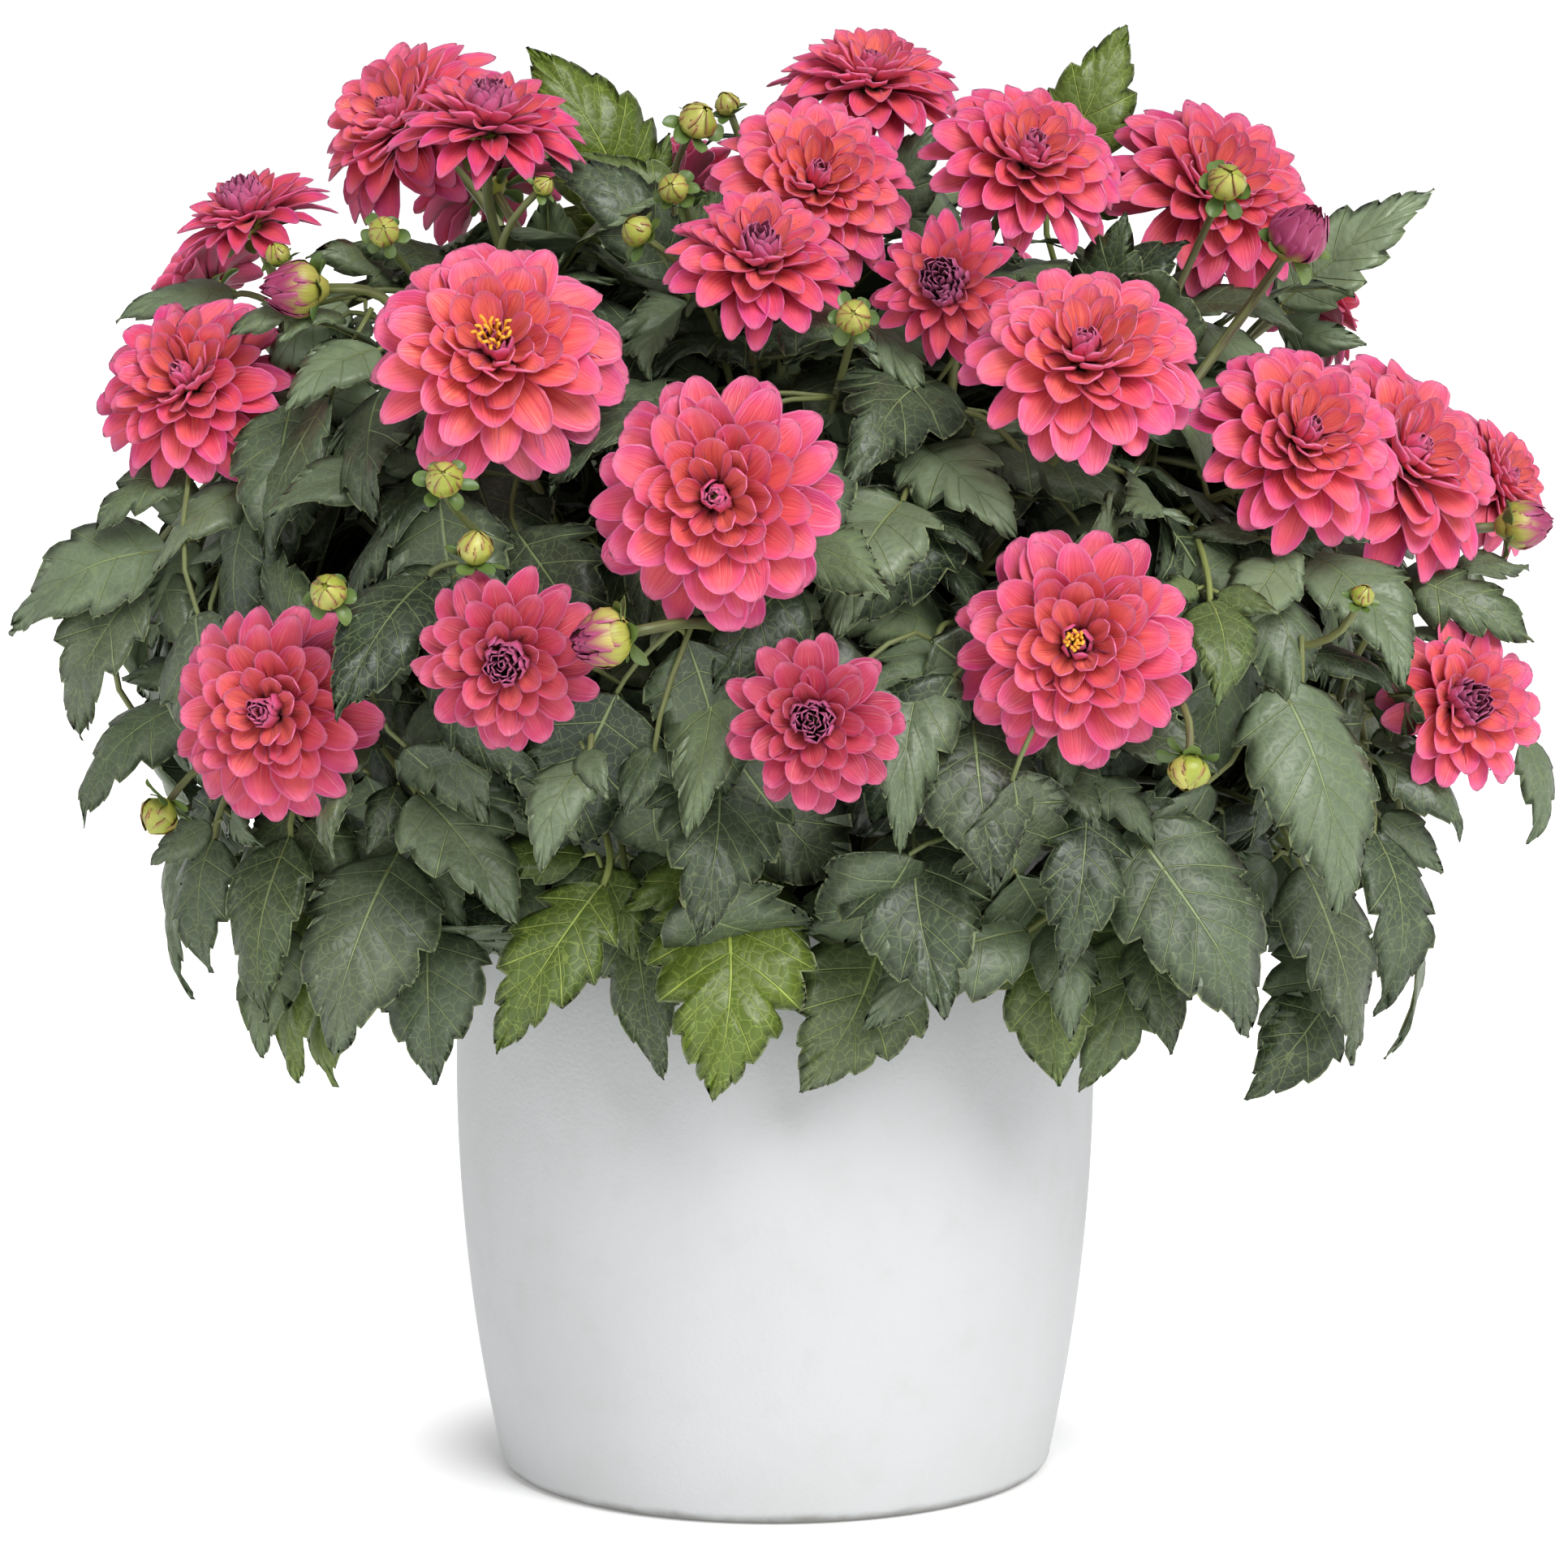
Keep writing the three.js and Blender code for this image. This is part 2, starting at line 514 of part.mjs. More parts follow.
function bud(shape, radius) {
  const { sides } = shape;
  const points = [];
  const polar = (i, r, z) => {
    const angle = (i * 2 * Math.PI) / sides;
    points.push(vector(r * Math.cos(angle), r * Math.sin(angle), z).multiplyScalar(radius));
  };
  const faces = [];
  polar(0, 0, -BUD_BACK);
  for (let i = 0; i < sides; i += 1) polar(i, BUD_SEAT, -BUD_BACK);
  for (let i = 0; i < sides; i += 1) {
    polar(i, ...shape.bract);
    polar(i + 0.5, ...shape.notch);
  }
  shape.ball.forEach(([r, z]) => {
    for (let i = 0; i < sides; i += 1) polar(i, r, z);
  });
  const tip = points.length;
  polar(0, 0, shape.tip);
  for (let i = 0; i < sides; i += 1) {
    const next = (i + 1) % sides;
    const seat = 1 + i;
    const seatNext = 1 + next;
    const bract = 1 + sides + 2 * i;
    const bractNext = 1 + sides + 2 * next;
    const notch = bract + 1;
    faces.push([0, seatNext, seat], [seat, notch, bract]);
    faces.push([seat, seatNext, notch], [seatNext, bractNext, notch]);
    const neck = 1 + 3 * sides + i;
    const neckNext = 1 + 3 * sides + next;
    faces.push([neck, bract, notch], [neck, notch, neckNext], [neckNext, notch, bractNext]);
    for (let k = 0; k + 1 < shape.ball.length; k += 1) {
      const low = neck + k * sides;
      const lowNext = neckNext + k * sides;
      faces.push([low, lowNext, low + sides], [lowNext, lowNext + sides, low + sides]);
    }
    const crown = (shape.ball.length - 1) * sides;
    faces.push([neck + crown, neckNext + crown, tip]);
  }
  return geometryFrom(points, faces);
}

// The matrix that puts a local +Z form at a point, looking along a direction.
function facing(at, direction) {
  const turn = new THREE.Quaternion().setFromUnitVectors(vector(0, 0, 1), direction);
  return new THREE.Matrix4().compose(at, turn, vector(1, 1, 1));
}

// Paths of the stems and stalks, as rows of points.
function stemPath({ azimuth, foot, fork }) {
  const angle = azimuth * degrees;
  const [reach, height] = fork;
  const top = SOIL_TOP + STEM_COLLAR;
  const curve = new THREE.CubicBezierCurve3(
    around(angle, foot, top),
    around(angle, foot, top + STEM_RISE),
    around(angle, mix(foot, reach, STEM_BEND[0]), mix(top, height, STEM_BEND[1])),
    around(angle, reach, height),
  );
  return [around(angle, foot, SOIL_TOP - STEM_DEPTH), ...curve.getPoints(STEM_STEPS)];
}

// The stalks of one stem leave it one below the other, near its end.
function stalkPath(stem, rank, end, direction) {
  const [below, fork] = stemPath(stem).slice(-2);
  const start = fork.lerp(below, STALK_SPACING * rank);
  const neck = end.clone().addScaledVector(direction, -STALK_NECK);
  const span = start.distanceTo(neck);
  const lower = start.clone().lerp(neck, STALK_BEND).add(vector(0, 0, span * STALK_RISE));
  const upper = neck.clone().addScaledVector(direction, -span * STALK_BEND);
  return [...new THREE.CubicBezierCurve3(start, lower, upper, neck).getPoints(STALK_STEPS), end];
}

// A low shoot that carries the leaves that hang over the pot's rim.
function shootPath(stem) {
  const start = stemPath(stem)[SHOOT_START];
  const end = around(stem.azimuth * degrees, ...SHOOT_END);
  const middle = start.clone().lerp(end, 0.5).add(vector(0, 0, SHOOT_RISE));
  return new THREE.QuadraticBezierCurve3(start, middle, end).getPoints(STALK_STEPS);
}

// Leaves
// The frame of a leaf: its base, the direction of its midrib, its right side and its upper face.
function leafFrame(base, axis, upward, length, width, arch, mirror) {
  const side = axis.clone().cross(upward).normalize();
  const normal = side.clone().cross(axis);
  return { base, axis, side, normal, length, width, arch, mirror };
}

// The pose of a hand-set leaf; each further try moves it a little deeper or less deep.
function placedPose(i, k) {
  const [base, tip, faces, width] = PLACED_LEAVES[i];
  const upward = looking(faces);
  const move = upward.clone().multiplyScalar(LEAF_STEP * Math.ceil(k / 2) * (k % 2 ? -1 : 1));
  const start = vector(...base).add(move);
  const axis = vector(...tip).add(move).sub(start);
  const length = axis.length();
  axis.normalize();
  return leafFrame(start, axis, upward, length, width * length, LEAF_ARCH, i % 2 === 1);
}

// The radius, height and slope of the canopy at a share of its area, measured from the crown.
function canopyPoint(share) {
  const bands = CANOPY.slice(1).map((to, i) => {
    const from = CANOPY[i];
    const area = ((from[0] + to[0]) / 2) * Math.hypot(to[0] - from[0], to[1] - from[1]);
    return { from, to, area };
  });
  let left = share * bands.reduce((sum, { area }) => sum + area, 0);
  const band = bands.find(({ area }) => {
    if (left <= area) return true;
    left -= area;
    return false;
  });
  const [r0, z0] = band.from;
  const [r1, z1] = band.to;
  // The area inside a band grows with the square of the radius.
  const r = Math.sqrt(mix(r0 * r0, r1 * r1, left / band.area));
  const slope = Math.atan2(z1 - z0, r1 - r0);
  return { r, z: mix(z0, z1, (r - r0) / (r1 - r0)), slope };
}

// The pose of a leaf that fills the crown, the sides and the back by a seeded rule, or null in the front.
function fillPose(i, k) {
  const draw = seeded(SEED + i * 31 + k * 977);
  const share = (i + 0.5) / FILL_LEAVES;
  const azimuth = i * GOLDEN_ANGLE + (draw() - 0.5) * FILL_AZIMUTH;
  if (Math.cos(azimuth) > 0 && share > CROWN_SHARE) return null;
  const { r, z, slope } = canopyPoint(share);
  const level = around(azimuth, 1, 0);
  const down = level.clone().multiplyScalar(Math.cos(slope)).setZ(Math.sin(slope));
  const outward = level.clone().multiplyScalar(-Math.sin(slope)).setZ(Math.cos(slope));
  const yaw = (draw() - 0.5) * (FILL_YAW.first + FILL_YAW.growth * k);
  const lift = mix(FILL_LIFT.crown, FILL_LIFT.skirt, share) + (draw() - 0.5) * FILL_LIFT.spread;
  const length = mix(...FILL_LENGTH, draw()) * (k > LEAF_TRIES / 2 ? FILL_SMALLER : 1);
  const sunk = FILL_SUNK.least + FILL_SUNK.spread * draw() + LEAF_STEP * k;
  const axis = down.applyAxisAngle(outward, yaw).multiplyScalar(Math.cos(lift));
  axis.addScaledVector(outward, Math.sin(lift)).normalize();
  const base = vector(level.x * r, level.y * r * CANOPY_DEPTH, z)
    .addScaledVector(outward, -sunk)
    .addScaledVector(axis, -length / 2);
  const upward = outward.applyAxisAngle(axis, (draw() - 0.5) * FILL_ROLL);
  const arch = LEAF_ARCH * (FILL_ARCH + draw());
  return leafFrame(base, axis, upward, length, FILL_WIDTH * length, arch, i % 2 === 1);
}

// The two triangles of a four-sided face, split along the diagonal that stands out the further.
function bulging(points, a, b, c, d) {
  const between = (p, q) => points[p].clone().lerp(points[q], 0.5);
  const outward = points[c].clone().sub(points[a]).cross(points[d].clone().sub(points[b]));
  return between(a, c).dot(outward) > between(b, d).dot(outward)
    ? [[a, b, c], [a, c, d]]
    : [[a, b, d], [b, c, d]];
}

// One closed leaf: a slim petiole from its root, then a blade with a raised rib and cut edges.
function leaf(pose, root, spare = 0) {
  const { base, axis, side, normal, length, width, arch, mirror } = pose;
  const along = base.clone().sub(root).normalize();
  const thin = PETIOLE_RADIUS + spare;
  const points = [];
  const row = (middle, across, up, left, right, rib, droop) => {
    points.push(
      middle.clone().addScaledVector(across, -left).addScaledVector(up, -droop * left - spare),
      middle.clone().addScaledVector(up, rib),
      middle.clone().addScaledVector(across, right).addScaledVector(up, -droop * right - spare),
    );
  };
  // The petiole's section turns with the bend between petiole and blade, half of it at the blade's base.
  const bend = new THREE.Quaternion().setFromUnitVectors(axis, along);
  const half = new THREE.Quaternion().slerp(bend, 0.5);
  for (const [middle, turn] of [[root, bend], [base, half]]) {
    const [across, up] = [side, normal].map((v) => v.clone().applyQuaternion(turn));
    row(middle, across, up, thin, thin, thin, PETIOLE_DROOP);
  }
  for (const [u, a, b, rib] of LEAF_ROWS) {
    const middle = base.clone().addScaledVector(axis, length * u);
    middle.addScaledVector(normal, length * arch * u * (1 - u));
    const [left, right] = (mirror ? [b, a] : [a, b]).map((share) => share * width + spare);
    row(middle, side, normal, left, right, rib + spare, LEAF_DROOP);
  }
  const tip = points.length;
  points.push(base.clone().addScaledVector(axis, length + spare));
  const faces = [[0, 2, 1]];
  for (let first = 0; first + 3 < tip; first += 3) {
    for (let j = 0; j < 3; j += 1) {
      const next = (j + 1) % 3;
      faces.push(...bulging(points, first + j, first + next, first + next + 3, first + j + 3));
    }
  }
  for (let j = 0; j < 3; j += 1) faces.push([tip - 3 + j, tip - 3 + ((j + 1) % 3), tip]);
  return geometryFrom(points, faces);
}

// The places that a leaf may grow from: every third of the stem points nearest to below its base.
// A place is left out where the petiole would be too short, too long or bent back on the blade.
function rootsOf(pose, stemPoints) {
  const { base, axis, normal } = pose;
  const { along, under } = ROOT_BELOW_BASE;
  const wanted = base.clone().addScaledVector(axis, -along).addScaledVector(normal, -under);
  const near = stemPoints.map((point) => ({ ...point, distance: point.at.distanceTo(wanted) }));
  near.sort((a, b) => a.distance - b.distance);
  return near
    .slice(0, ROOT_CHOICES)
    .filter((_, rank) => rank % 3 === 0)
    .filter(({ at }) => {
      const petiole = base.clone().sub(at);
      const span = petiole.length();
      const straight = petiole.dot(axis) > PETIOLE_BEND * span;
      const fromBelow = petiole.dot(normal) > -PETIOLE_FROM_ABOVE * span;
      return span > PETIOLE_LEAST && span < PETIOLE_REACH && straight && fromBelow;
    });
}

const boxesMeet = (a, b) => [0, 1, 2].every((i) => a.min[i] <= b.max[i] && b.min[i] <= a.max[i]);

function crosses(solid, items) {
  const box = solid.boundingBox();
  return items.some((item) => boxesMeet(box, item.box) && !solid.intersect(item.solid).isEmpty());
}

// Assembly
const items = [];
const stemPoints = [];
const stalks = new Map();

function addItem(node, geometry, kind) {
  const solid = geometry.isBufferGeometry ? solidOf(geometry) : geometry;
  items.push({ node, solid, kind, box: solid.boundingBox() });
}

// A stalk on one of the stems, which are numbered from 1.
function addStalk(number, end, direction, radius) {
  const stem = STEMS[number - 1];
  const rank = stalks.get(number) ?? 0;
  stalks.set(number, rank + 1);
  addTube(stem, stalkPath(stem, rank, end, direction), radius, STALK_SIDES);
}

function addTube(stem, path, radius, sides) {
  addItem(stem.name, tube(path, radius, sides), "tube");
  path.slice(1).forEach((to, i) => {
    const count = Math.ceil(path[i].distanceTo(to) / ROOT_STEP);
    for (let n = 0; n < count; n += 1) {
      const at = path[i].clone().lerp(to, (n + 0.5) / count);
      if (at.z > ROOT_LOWEST) stemPoints.push({ at, node: stem.name });
    }
  });
}

function addStem(stem) {
  addTube(stem, stemPath(stem), STEM_RADIUS, STEM_SIDES);
  if (stem.shoot) addTube(stem, shootPath(stem), STALK_RADIUS, STALK_SIDES);
}

// A bloom or an opening bud, and the stalk that stops short of its seat.
function addFlower({ name, stem, at, radius, faces }, geometry, back) {
  const direction = looking(faces);
  addItem(name, geometry.applyMatrix4(facing(vector(...at), direction)), "flower");
  const end = vector(...at).addScaledVector(direction, -back * radius - SEAT_GAP);
  addStalk(stem, end, direction, STALK_RADIUS);
}

// A closed bud, which is one body with its stalk.
function addGreenBud({ stem, at, radius, faces }) {
  const direction = looking(faces);
  const { name } = STEMS[stem - 1];
  addItem(name, bud(GREEN_BUD, radius).applyMatrix4(facing(vector(...at), direction)), "bud");
  const end = vector(...at).addScaledVector(direction, radius * GREEN_BUD_DEPTH);
  addStalk(stem, end, direction, BUD_STALK_RADIUS);
}

// Grows one leaf in the first of its poses and roots that crosses nothing but its stem at its root.
function addLeaf(poseAt) {
  for (let k = 0; k < LEAF_TRIES; k += 1) {
    const pose = poseAt(k);
    if (!pose) return;
    for (const root of rootsOf(pose, stemPoints)) {
      const tubes = items.filter(({ node, kind }) => node === root.node && kind === "tube");
      const others = items.filter((item) => !tubes.includes(item));
      const foot = pose.base.clone().addScaledVector(pose.axis, -1);
      const blade = solidOf(leaf(pose, foot, LEAF_CLEARANCE));
      const whole = solidOf(leaf(pose, root.at, LEAF_CLEARANCE));
      if (!crosses(blade, tubes) && !crosses(whole, others)) {
        addItem(root.node, leaf(pose, root.at), "leaf");
        return;
      }
    }
  }
}

function slotOf(name) {
  if (name === "pot" || name === "soil") return name;
  if (name.startsWith("stem")) return "foliage";
  return name.startsWith("bloom") ? "petals" : "opening";
}

addItem("pot", pot(), "pot");
addItem("soil", soil(), "soil");
STEMS.forEach(addStem);
BLOOMS.forEach((flower) => addFlower(flower, bloom(flower.radius, flower.open), BLOOM_BACK));
OPENING_BUDS.forEach((flower) => addFlower(flower, bud(OPENING_BUD, flower.radius), BUD_BACK));
GREEN_BUDS.forEach(addGreenBud);
PLACED_LEAVES.forEach((_, i) => addLeaf((k) => placedPose(i, k)));
for (let i = 0; i < FILL_LEAVES; i += 1) addLeaf((k) => fillPose(i, k));

const group = new THREE.Group();
for (const name of new Set(items.map(({ node }) => node))) {
  const solids = items.filter(({ node }) => node === name).map(({ solid }) => solid);
  const mesh = new THREE.Mesh(geometryOf(wasm.Manifold.union(solids)), materials[slotOf(name)]);
  mesh.name = name;
  group.add(mesh);
}

export default group;
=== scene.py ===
"""The look of a potted dahlia: petals, toothed leaves, buds, stems, soil and pot, built round its solids."""

import json
import math

import bpy
import numpy as np
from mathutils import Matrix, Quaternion, Vector
from mathutils.kdtree import KDTree

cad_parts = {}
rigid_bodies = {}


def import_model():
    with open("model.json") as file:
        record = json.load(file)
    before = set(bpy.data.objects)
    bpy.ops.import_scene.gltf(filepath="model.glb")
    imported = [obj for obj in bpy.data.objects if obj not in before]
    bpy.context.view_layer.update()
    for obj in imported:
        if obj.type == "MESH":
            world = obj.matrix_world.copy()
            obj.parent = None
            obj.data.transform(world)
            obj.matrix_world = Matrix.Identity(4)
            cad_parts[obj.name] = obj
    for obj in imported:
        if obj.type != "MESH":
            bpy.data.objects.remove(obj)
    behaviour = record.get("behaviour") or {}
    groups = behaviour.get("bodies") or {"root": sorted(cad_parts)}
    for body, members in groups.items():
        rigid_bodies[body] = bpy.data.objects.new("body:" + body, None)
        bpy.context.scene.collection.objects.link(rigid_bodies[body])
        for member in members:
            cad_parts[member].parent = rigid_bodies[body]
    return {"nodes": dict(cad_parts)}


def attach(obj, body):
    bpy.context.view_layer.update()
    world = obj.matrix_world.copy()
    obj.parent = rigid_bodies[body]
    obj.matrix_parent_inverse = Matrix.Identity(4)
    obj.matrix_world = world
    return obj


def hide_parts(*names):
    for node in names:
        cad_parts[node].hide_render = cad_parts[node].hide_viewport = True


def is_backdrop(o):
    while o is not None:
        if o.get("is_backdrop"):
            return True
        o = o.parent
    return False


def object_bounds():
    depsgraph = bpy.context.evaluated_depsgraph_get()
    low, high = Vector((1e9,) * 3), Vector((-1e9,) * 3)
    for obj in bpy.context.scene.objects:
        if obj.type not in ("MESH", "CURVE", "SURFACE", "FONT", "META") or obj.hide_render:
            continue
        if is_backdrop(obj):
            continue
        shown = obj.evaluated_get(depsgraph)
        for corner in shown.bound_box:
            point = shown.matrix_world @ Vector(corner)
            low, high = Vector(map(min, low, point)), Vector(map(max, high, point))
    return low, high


for leftover in list(bpy.data.objects):
    bpy.data.objects.remove(leftover)
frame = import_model()
cad_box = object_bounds()

# Sizes and places are in millimetres, as the solids' are, and a mesh is made in metres.
MM = 0.001

# Pot and soil
POT_HEIGHT = 285
POT_WIDEST_Z = 190
POT_RADIUS = 150
POT_FOOT_RADIUS = 129
POT_RIM_RADIUS = 144
POT_WALL = 9
POT_FLOOR = 12
POT_CORNER = 8
POT_INNER_CORNER = 4
POT_LIP = 3
POT_SIDES = 120
POT_STEP = 9
DRAIN_HOLE = {"count": 3, "radius": 7, "circle": 62, "sides": 32}
SOIL_TOP = 258
SOIL_CROWN = 8
SOIL_RINGS = 26
SOIL_SIDES = 96
SOIL_LUMPS = 280
SOIL_LUMP = (1.5, 5)
LUMP_PROFILE = ((0, -0.4), (0.6, -0.3), (0.9, 0.3), (1, 0.62), (0.6, 0.92), (0, 1.02))
LUMP_SIDES = 7
SOIL_GRAIN = 1.1
# How far the soil stays off the pot's wall
SOIL_SLACK = 0.6

# Stems and stalks
STEM_RADIUS = 4.2
STEM_SIDES = 10
STEM_DEPTH = 60
STEM_COLLAR = 16
STEM_RISE = 30
STEM_BEND = (0.45, 0.5)
STALK_RADIUS = 2.6
STALK_NECK = 9
STALK_SPACING = 0.2
STALK_BEND = 0.3
STALK_RISE = 0.12
STALK_SIDES = 8
BUD_STALK_RADIUS = 1.9
SHOOT_START = 3
SHOOT_END = (215, 322)
SHOOT_RISE = 22
SEAT_GAP = 0.3
# The solids run straight between few points of each path; what is seen follows the whole curve.
COARSE = {"stem": 4, "stalk": 3}
FINE = {"stem": 24, "stalk": 16}

# The outer surface of the foliage as radius and height, from the crown down to the skirt over the pot
CANOPY = (
    (0, 590),
    (120, 582),
    (210, 548),
    (275, 490),
    (308, 430),
    (312, 370),
    (292, 312),
    (252, 262),
    (204, 232),
)
CANOPY_DEPTH = 0.9
CROWN_SHARE = 0.16
FILL_LEAVES = 88
FILL_LENGTH = (90, 120)
FILL_SMALLER = 0.86
FILL_WIDTH = 0.66
FILL_AZIMUTH = 0.25
FILL_YAW = (1, 0.12)
FILL_LIFT = (0.4, -0.05)
FILL_LIFT_SPREAD = 0.4
FILL_SUNK = (4, 12)
FILL_ROLL = 0.6
FILL_ARCH = 0.6
SEED = 20
GOLDEN_ANGLE = math.pi * (3 - math.sqrt(5))

# How the solids' leaves grow
LEAF_ARCH = 0.5
LEAF_TRIES = 9
LEAF_STEP = 7
# How near the tip of a leaf lies to a corner of the solids where they have that leaf
LEAF_MATCH = 0.05
PETIOLE_RADIUS = 1.7
ROOT_STEP = 12
ROOT_CHOICES = 30
ROOT_BELOW_BASE = (28, 22)
ROOT_LOWEST = SOIL_TOP + 28

# Leaves given one by one: base, tip, the way the upper face looks (azimuth, elevation), width over length
PLACED_LEAVES = (
    ((-276, -60, 438), (-353, -42, 398), (-22, 32), 0.6),
    ((-270, -50, 415), (-320, -60, 360), (-60, 20), 0.5),
    ((-265, -60, 370), (-320, -70, 315), (-40, 35), 0.55),
    ((-255, -100, 325), (-268, -105, 238), (-60, 10), 0.45),
    ((-215, -150, 318), (-225, -170, 238), (-30, 20), 0.6),
    ((-165, -165, 312), (-195, -195, 228), (-15, 25), 0.62),
    ((-190, -138, 275), (-200, -146, 205), (-40, 0), 0.5),
    ((-152, -160, 280), (-150, -180, 212), (-10, 10), 0.75),
    ((-155, -190, 342), (-110, -218, 288), (0, 40), 0.65),
    ((-75, -190, 302), (-122, -212, 233), (-10, 20), 0.52),
    ((-150, -180, 382), (-125, -215, 333), (-20, 30), 0.8),
    ((-150, -200, 437), (-186, -250, 383), (-15, 35), 0.58),
    ((-165, -130, 477), (-226, -142, 463), (-10, 50), 0.55),
    ((-240, -75, 468), (-282, -90, 432), (-30, 40), 0.6),
    ((-25, -200, 365), (-32, -255, 288), (0, 25), 0.68),
    ((-22, -190, 302), (-26, -228, 214), (0, 20), 0.76),
    ((-65, -170, 302), (-52, -188, 215), (-20, 0), 0.48),
    ((48, -172, 282), (12, -193, 211), (5, 15), 0.8),
    ((110, -190, 282), (38, -218, 243), (5, 35), 0.55),
    ((60, -198, 328), (74, -240, 252), (5, 25), 0.8),
    ((70, -200, 410), (54, -258, 328), (5, 30), 0.52),
    ((85, -215, 378), (95, -252, 310), (10, 30), 0.76),
    ((122, -165, 275), (125, -184, 212), (5, 15), 0.72),
    ((-80, -238, 362), (-100, -258, 318), (-15, 25), 0.55),
    ((-32, -215, 384), (-65, -238, 338), (-10, 40), 0.65),
    ((55, -190, 470), (26, -240, 416), (0, 40), 0.75),
    ((8, -218, 428), (-25, -240, 384), (-5, 40), 0.7),
    ((155, -190, 328), (210, -208, 240), (15, 25), 0.64),
    ((220, -168, 388), (250, -192, 290), (25, 30), 0.58),
    ((235, -130, 302), (260, -142, 214), (30, 20), 0.58),
    ((250, -105, 262), (215, -130, 208), (20, 20), 0.62),
    ((135, -200, 338), (125, -225, 268), (10, 25), 0.54),
    ((162, -158, 275), (135, -176, 208), (10, 15), 0.58),
    ((290, -55, 275), (284, -60, 202), (75, 5), 0.42),
    ((272, -85, 345), (314, -92, 312), (30, 45), 0.6),
    ((345, -35, 350), (352, -40, 300), (50, 10), 0.5),
    ((226, -140, 398), (274, -150, 384), (15, 55), 0.6),
    ((290, -65, 425), (350, -40, 440), (20, 60), 0.6),
    ((222, -145, 440), (194, -180, 408), (5, 40), 0.62),
    ((190, -175, 425), (191, -210, 384), (10, 35), 0.65),
    ((236, -122, 440), (277, -168, 388), (20, 40), 0.62),
    ((130, -196, 362), (190, -215, 350), (10, 50), 0.55),
    ((120, -145, 452), (182, -170, 463), (10, 60), 0.58),
    ((62, -145, 478), (102, -190, 443), (10, 40), 0.72),
    ((-68, 60, 580), (-116, 50, 666), (0, 20), 0.6),
    ((-40, 28, 560), (-94, 18, 618), (-10, 40), 0.62),
    ((-45, -55, 560), (-104, -50, 618), (-20, 50), 0.52),
    ((-20, -95, 530), (-70, -112, 562), (-10, 50), 0.6),
    ((132, 60, 605), (165, 60, 677), (0, 30), 0.62),
    ((240, 60, 545), (312, 60, 600), (10, 40), 0.5),
    ((188, -30, 548), (242, -42, 538), (10, 55), 0.5),
    ((-178, -84, 530), (-218, -112, 506), (-10, 40), 0.66),
    ((-218, -76, 505), (-220, -108, 432), (-10, 30), 0.6),
    ((-250, -6, 552), (-305, -10, 540), (-20, 50), 0.5),
    ((80, -150, 500), (40, -168, 492), (0, 50), 0.6),
    ((-250, -128, 314), (-254, -142, 256), (-40, 20), 0.6),
    ((-206, -140, 284), (-213, -154, 208), (-35, 10), 0.5),
    ((272, -92, 312), (278, -112, 232), (40, 15), 0.5),
    ((-284, -52, 420), (-318, -56, 350), (-45, 20), 0.6),
    ((150, -40, 540), (186, -58, 578), (10, 45), 0.72),
    ((50, 2, 588), (76, -6, 640), (10, 45), 0.7),
    ((-195, -40, 545), (-230, -54, 512), (-15, 45), 0.72),
)
# Small leaves on the stems between the blooms and at the skirt's edge, given the same way
SPRIG_LEAVES = (
    ((-172, -12, 556), (-213, -32, 572), (-10, 50), 0.62),
    ((144, -46, 548), (158, -66, 590), (10, 30), 0.75),
    ((290, -62, 424), (346, -66, 396), (20, 40), 0.62),
    ((-214, -150, 276), (-229, -164, 222), (-30, 15), 0.55),
    ((164, -166, 276), (174, -190, 228), (10, 15), 0.6),
    ((-196, -64, 545), (-222, -90, 534), (-10, 55), 0.6),
    ((250, -116, 240), (213, -134, 197), (20, 20), 0.66),
    ((-262, -56, 476), (-312, -62, 446), (-30, 40), 0.6),
    ((-212, -70, 548), (-246, -84, 536), (-10, 40), 0.66),
    ((-108, -140, 304), (-150, -150, 258), (-15, 15), 0.78),
)
# The brighter, younger leaves among them: which one, and how bright
YOUNG_LEAVES = {
    4: 0.2, 6: 0.8, 9: 0.85, 15: 1, 16: 0.25, 17: 0.35, 22: 0.6,
    32: 0.3, 39: 0.5, 44: 1, 45: 0.6, 48: 0.9, 56: 0.8,
}
# The greyer, paler leaves among them: which one, and how many times paler than it would be by its place
PALE_LEAVES = {0: 1.3, 25: 2, 26: 1.5, 49: 2, 52: 1.4}

# The leaves that no inner leaf may hide, and how far it stays off their middles, as a share of their length
SEEN_LEAVES = {9: 0.5, 15: 0.3}

# Main stems: azimuth from the front towards +X in degrees, and the radius and height of the fork that its
# flower stalks leave from. The outer ones have a low shoot.
OUTER_STEMS = (
    (-4, (150, 385)), (-28, (165, 405)), (-52, (185, 350)), (-79, (175, 430)), (-108, (185, 390)),
    (-135, (180, 370)), (-160, (140, 420)), (166, (160, 390)), (134, (175, 400)), (101, (190, 430)),
    (76, (205, 375)), (54, (170, 430)), (27, (150, 400)),
)
INNER_STEMS = ((-5, (45, 440)), (-100, (80, 470)), (85, (60, 480)))
# The radius that they leave the soil at
OUTER_FOOT = 88
INNER_FOOT = 42
STEMS = [
    (f"stem_{number:02}", azimuth, OUTER_FOOT if shoot else INNER_FOOT, fork, shoot)
    for number, ((azimuth, fork), shoot) in enumerate(
        [(stem, True) for stem in OUTER_STEMS] + [(stem, False) for stem in INNER_STEMS], 1
    )
]

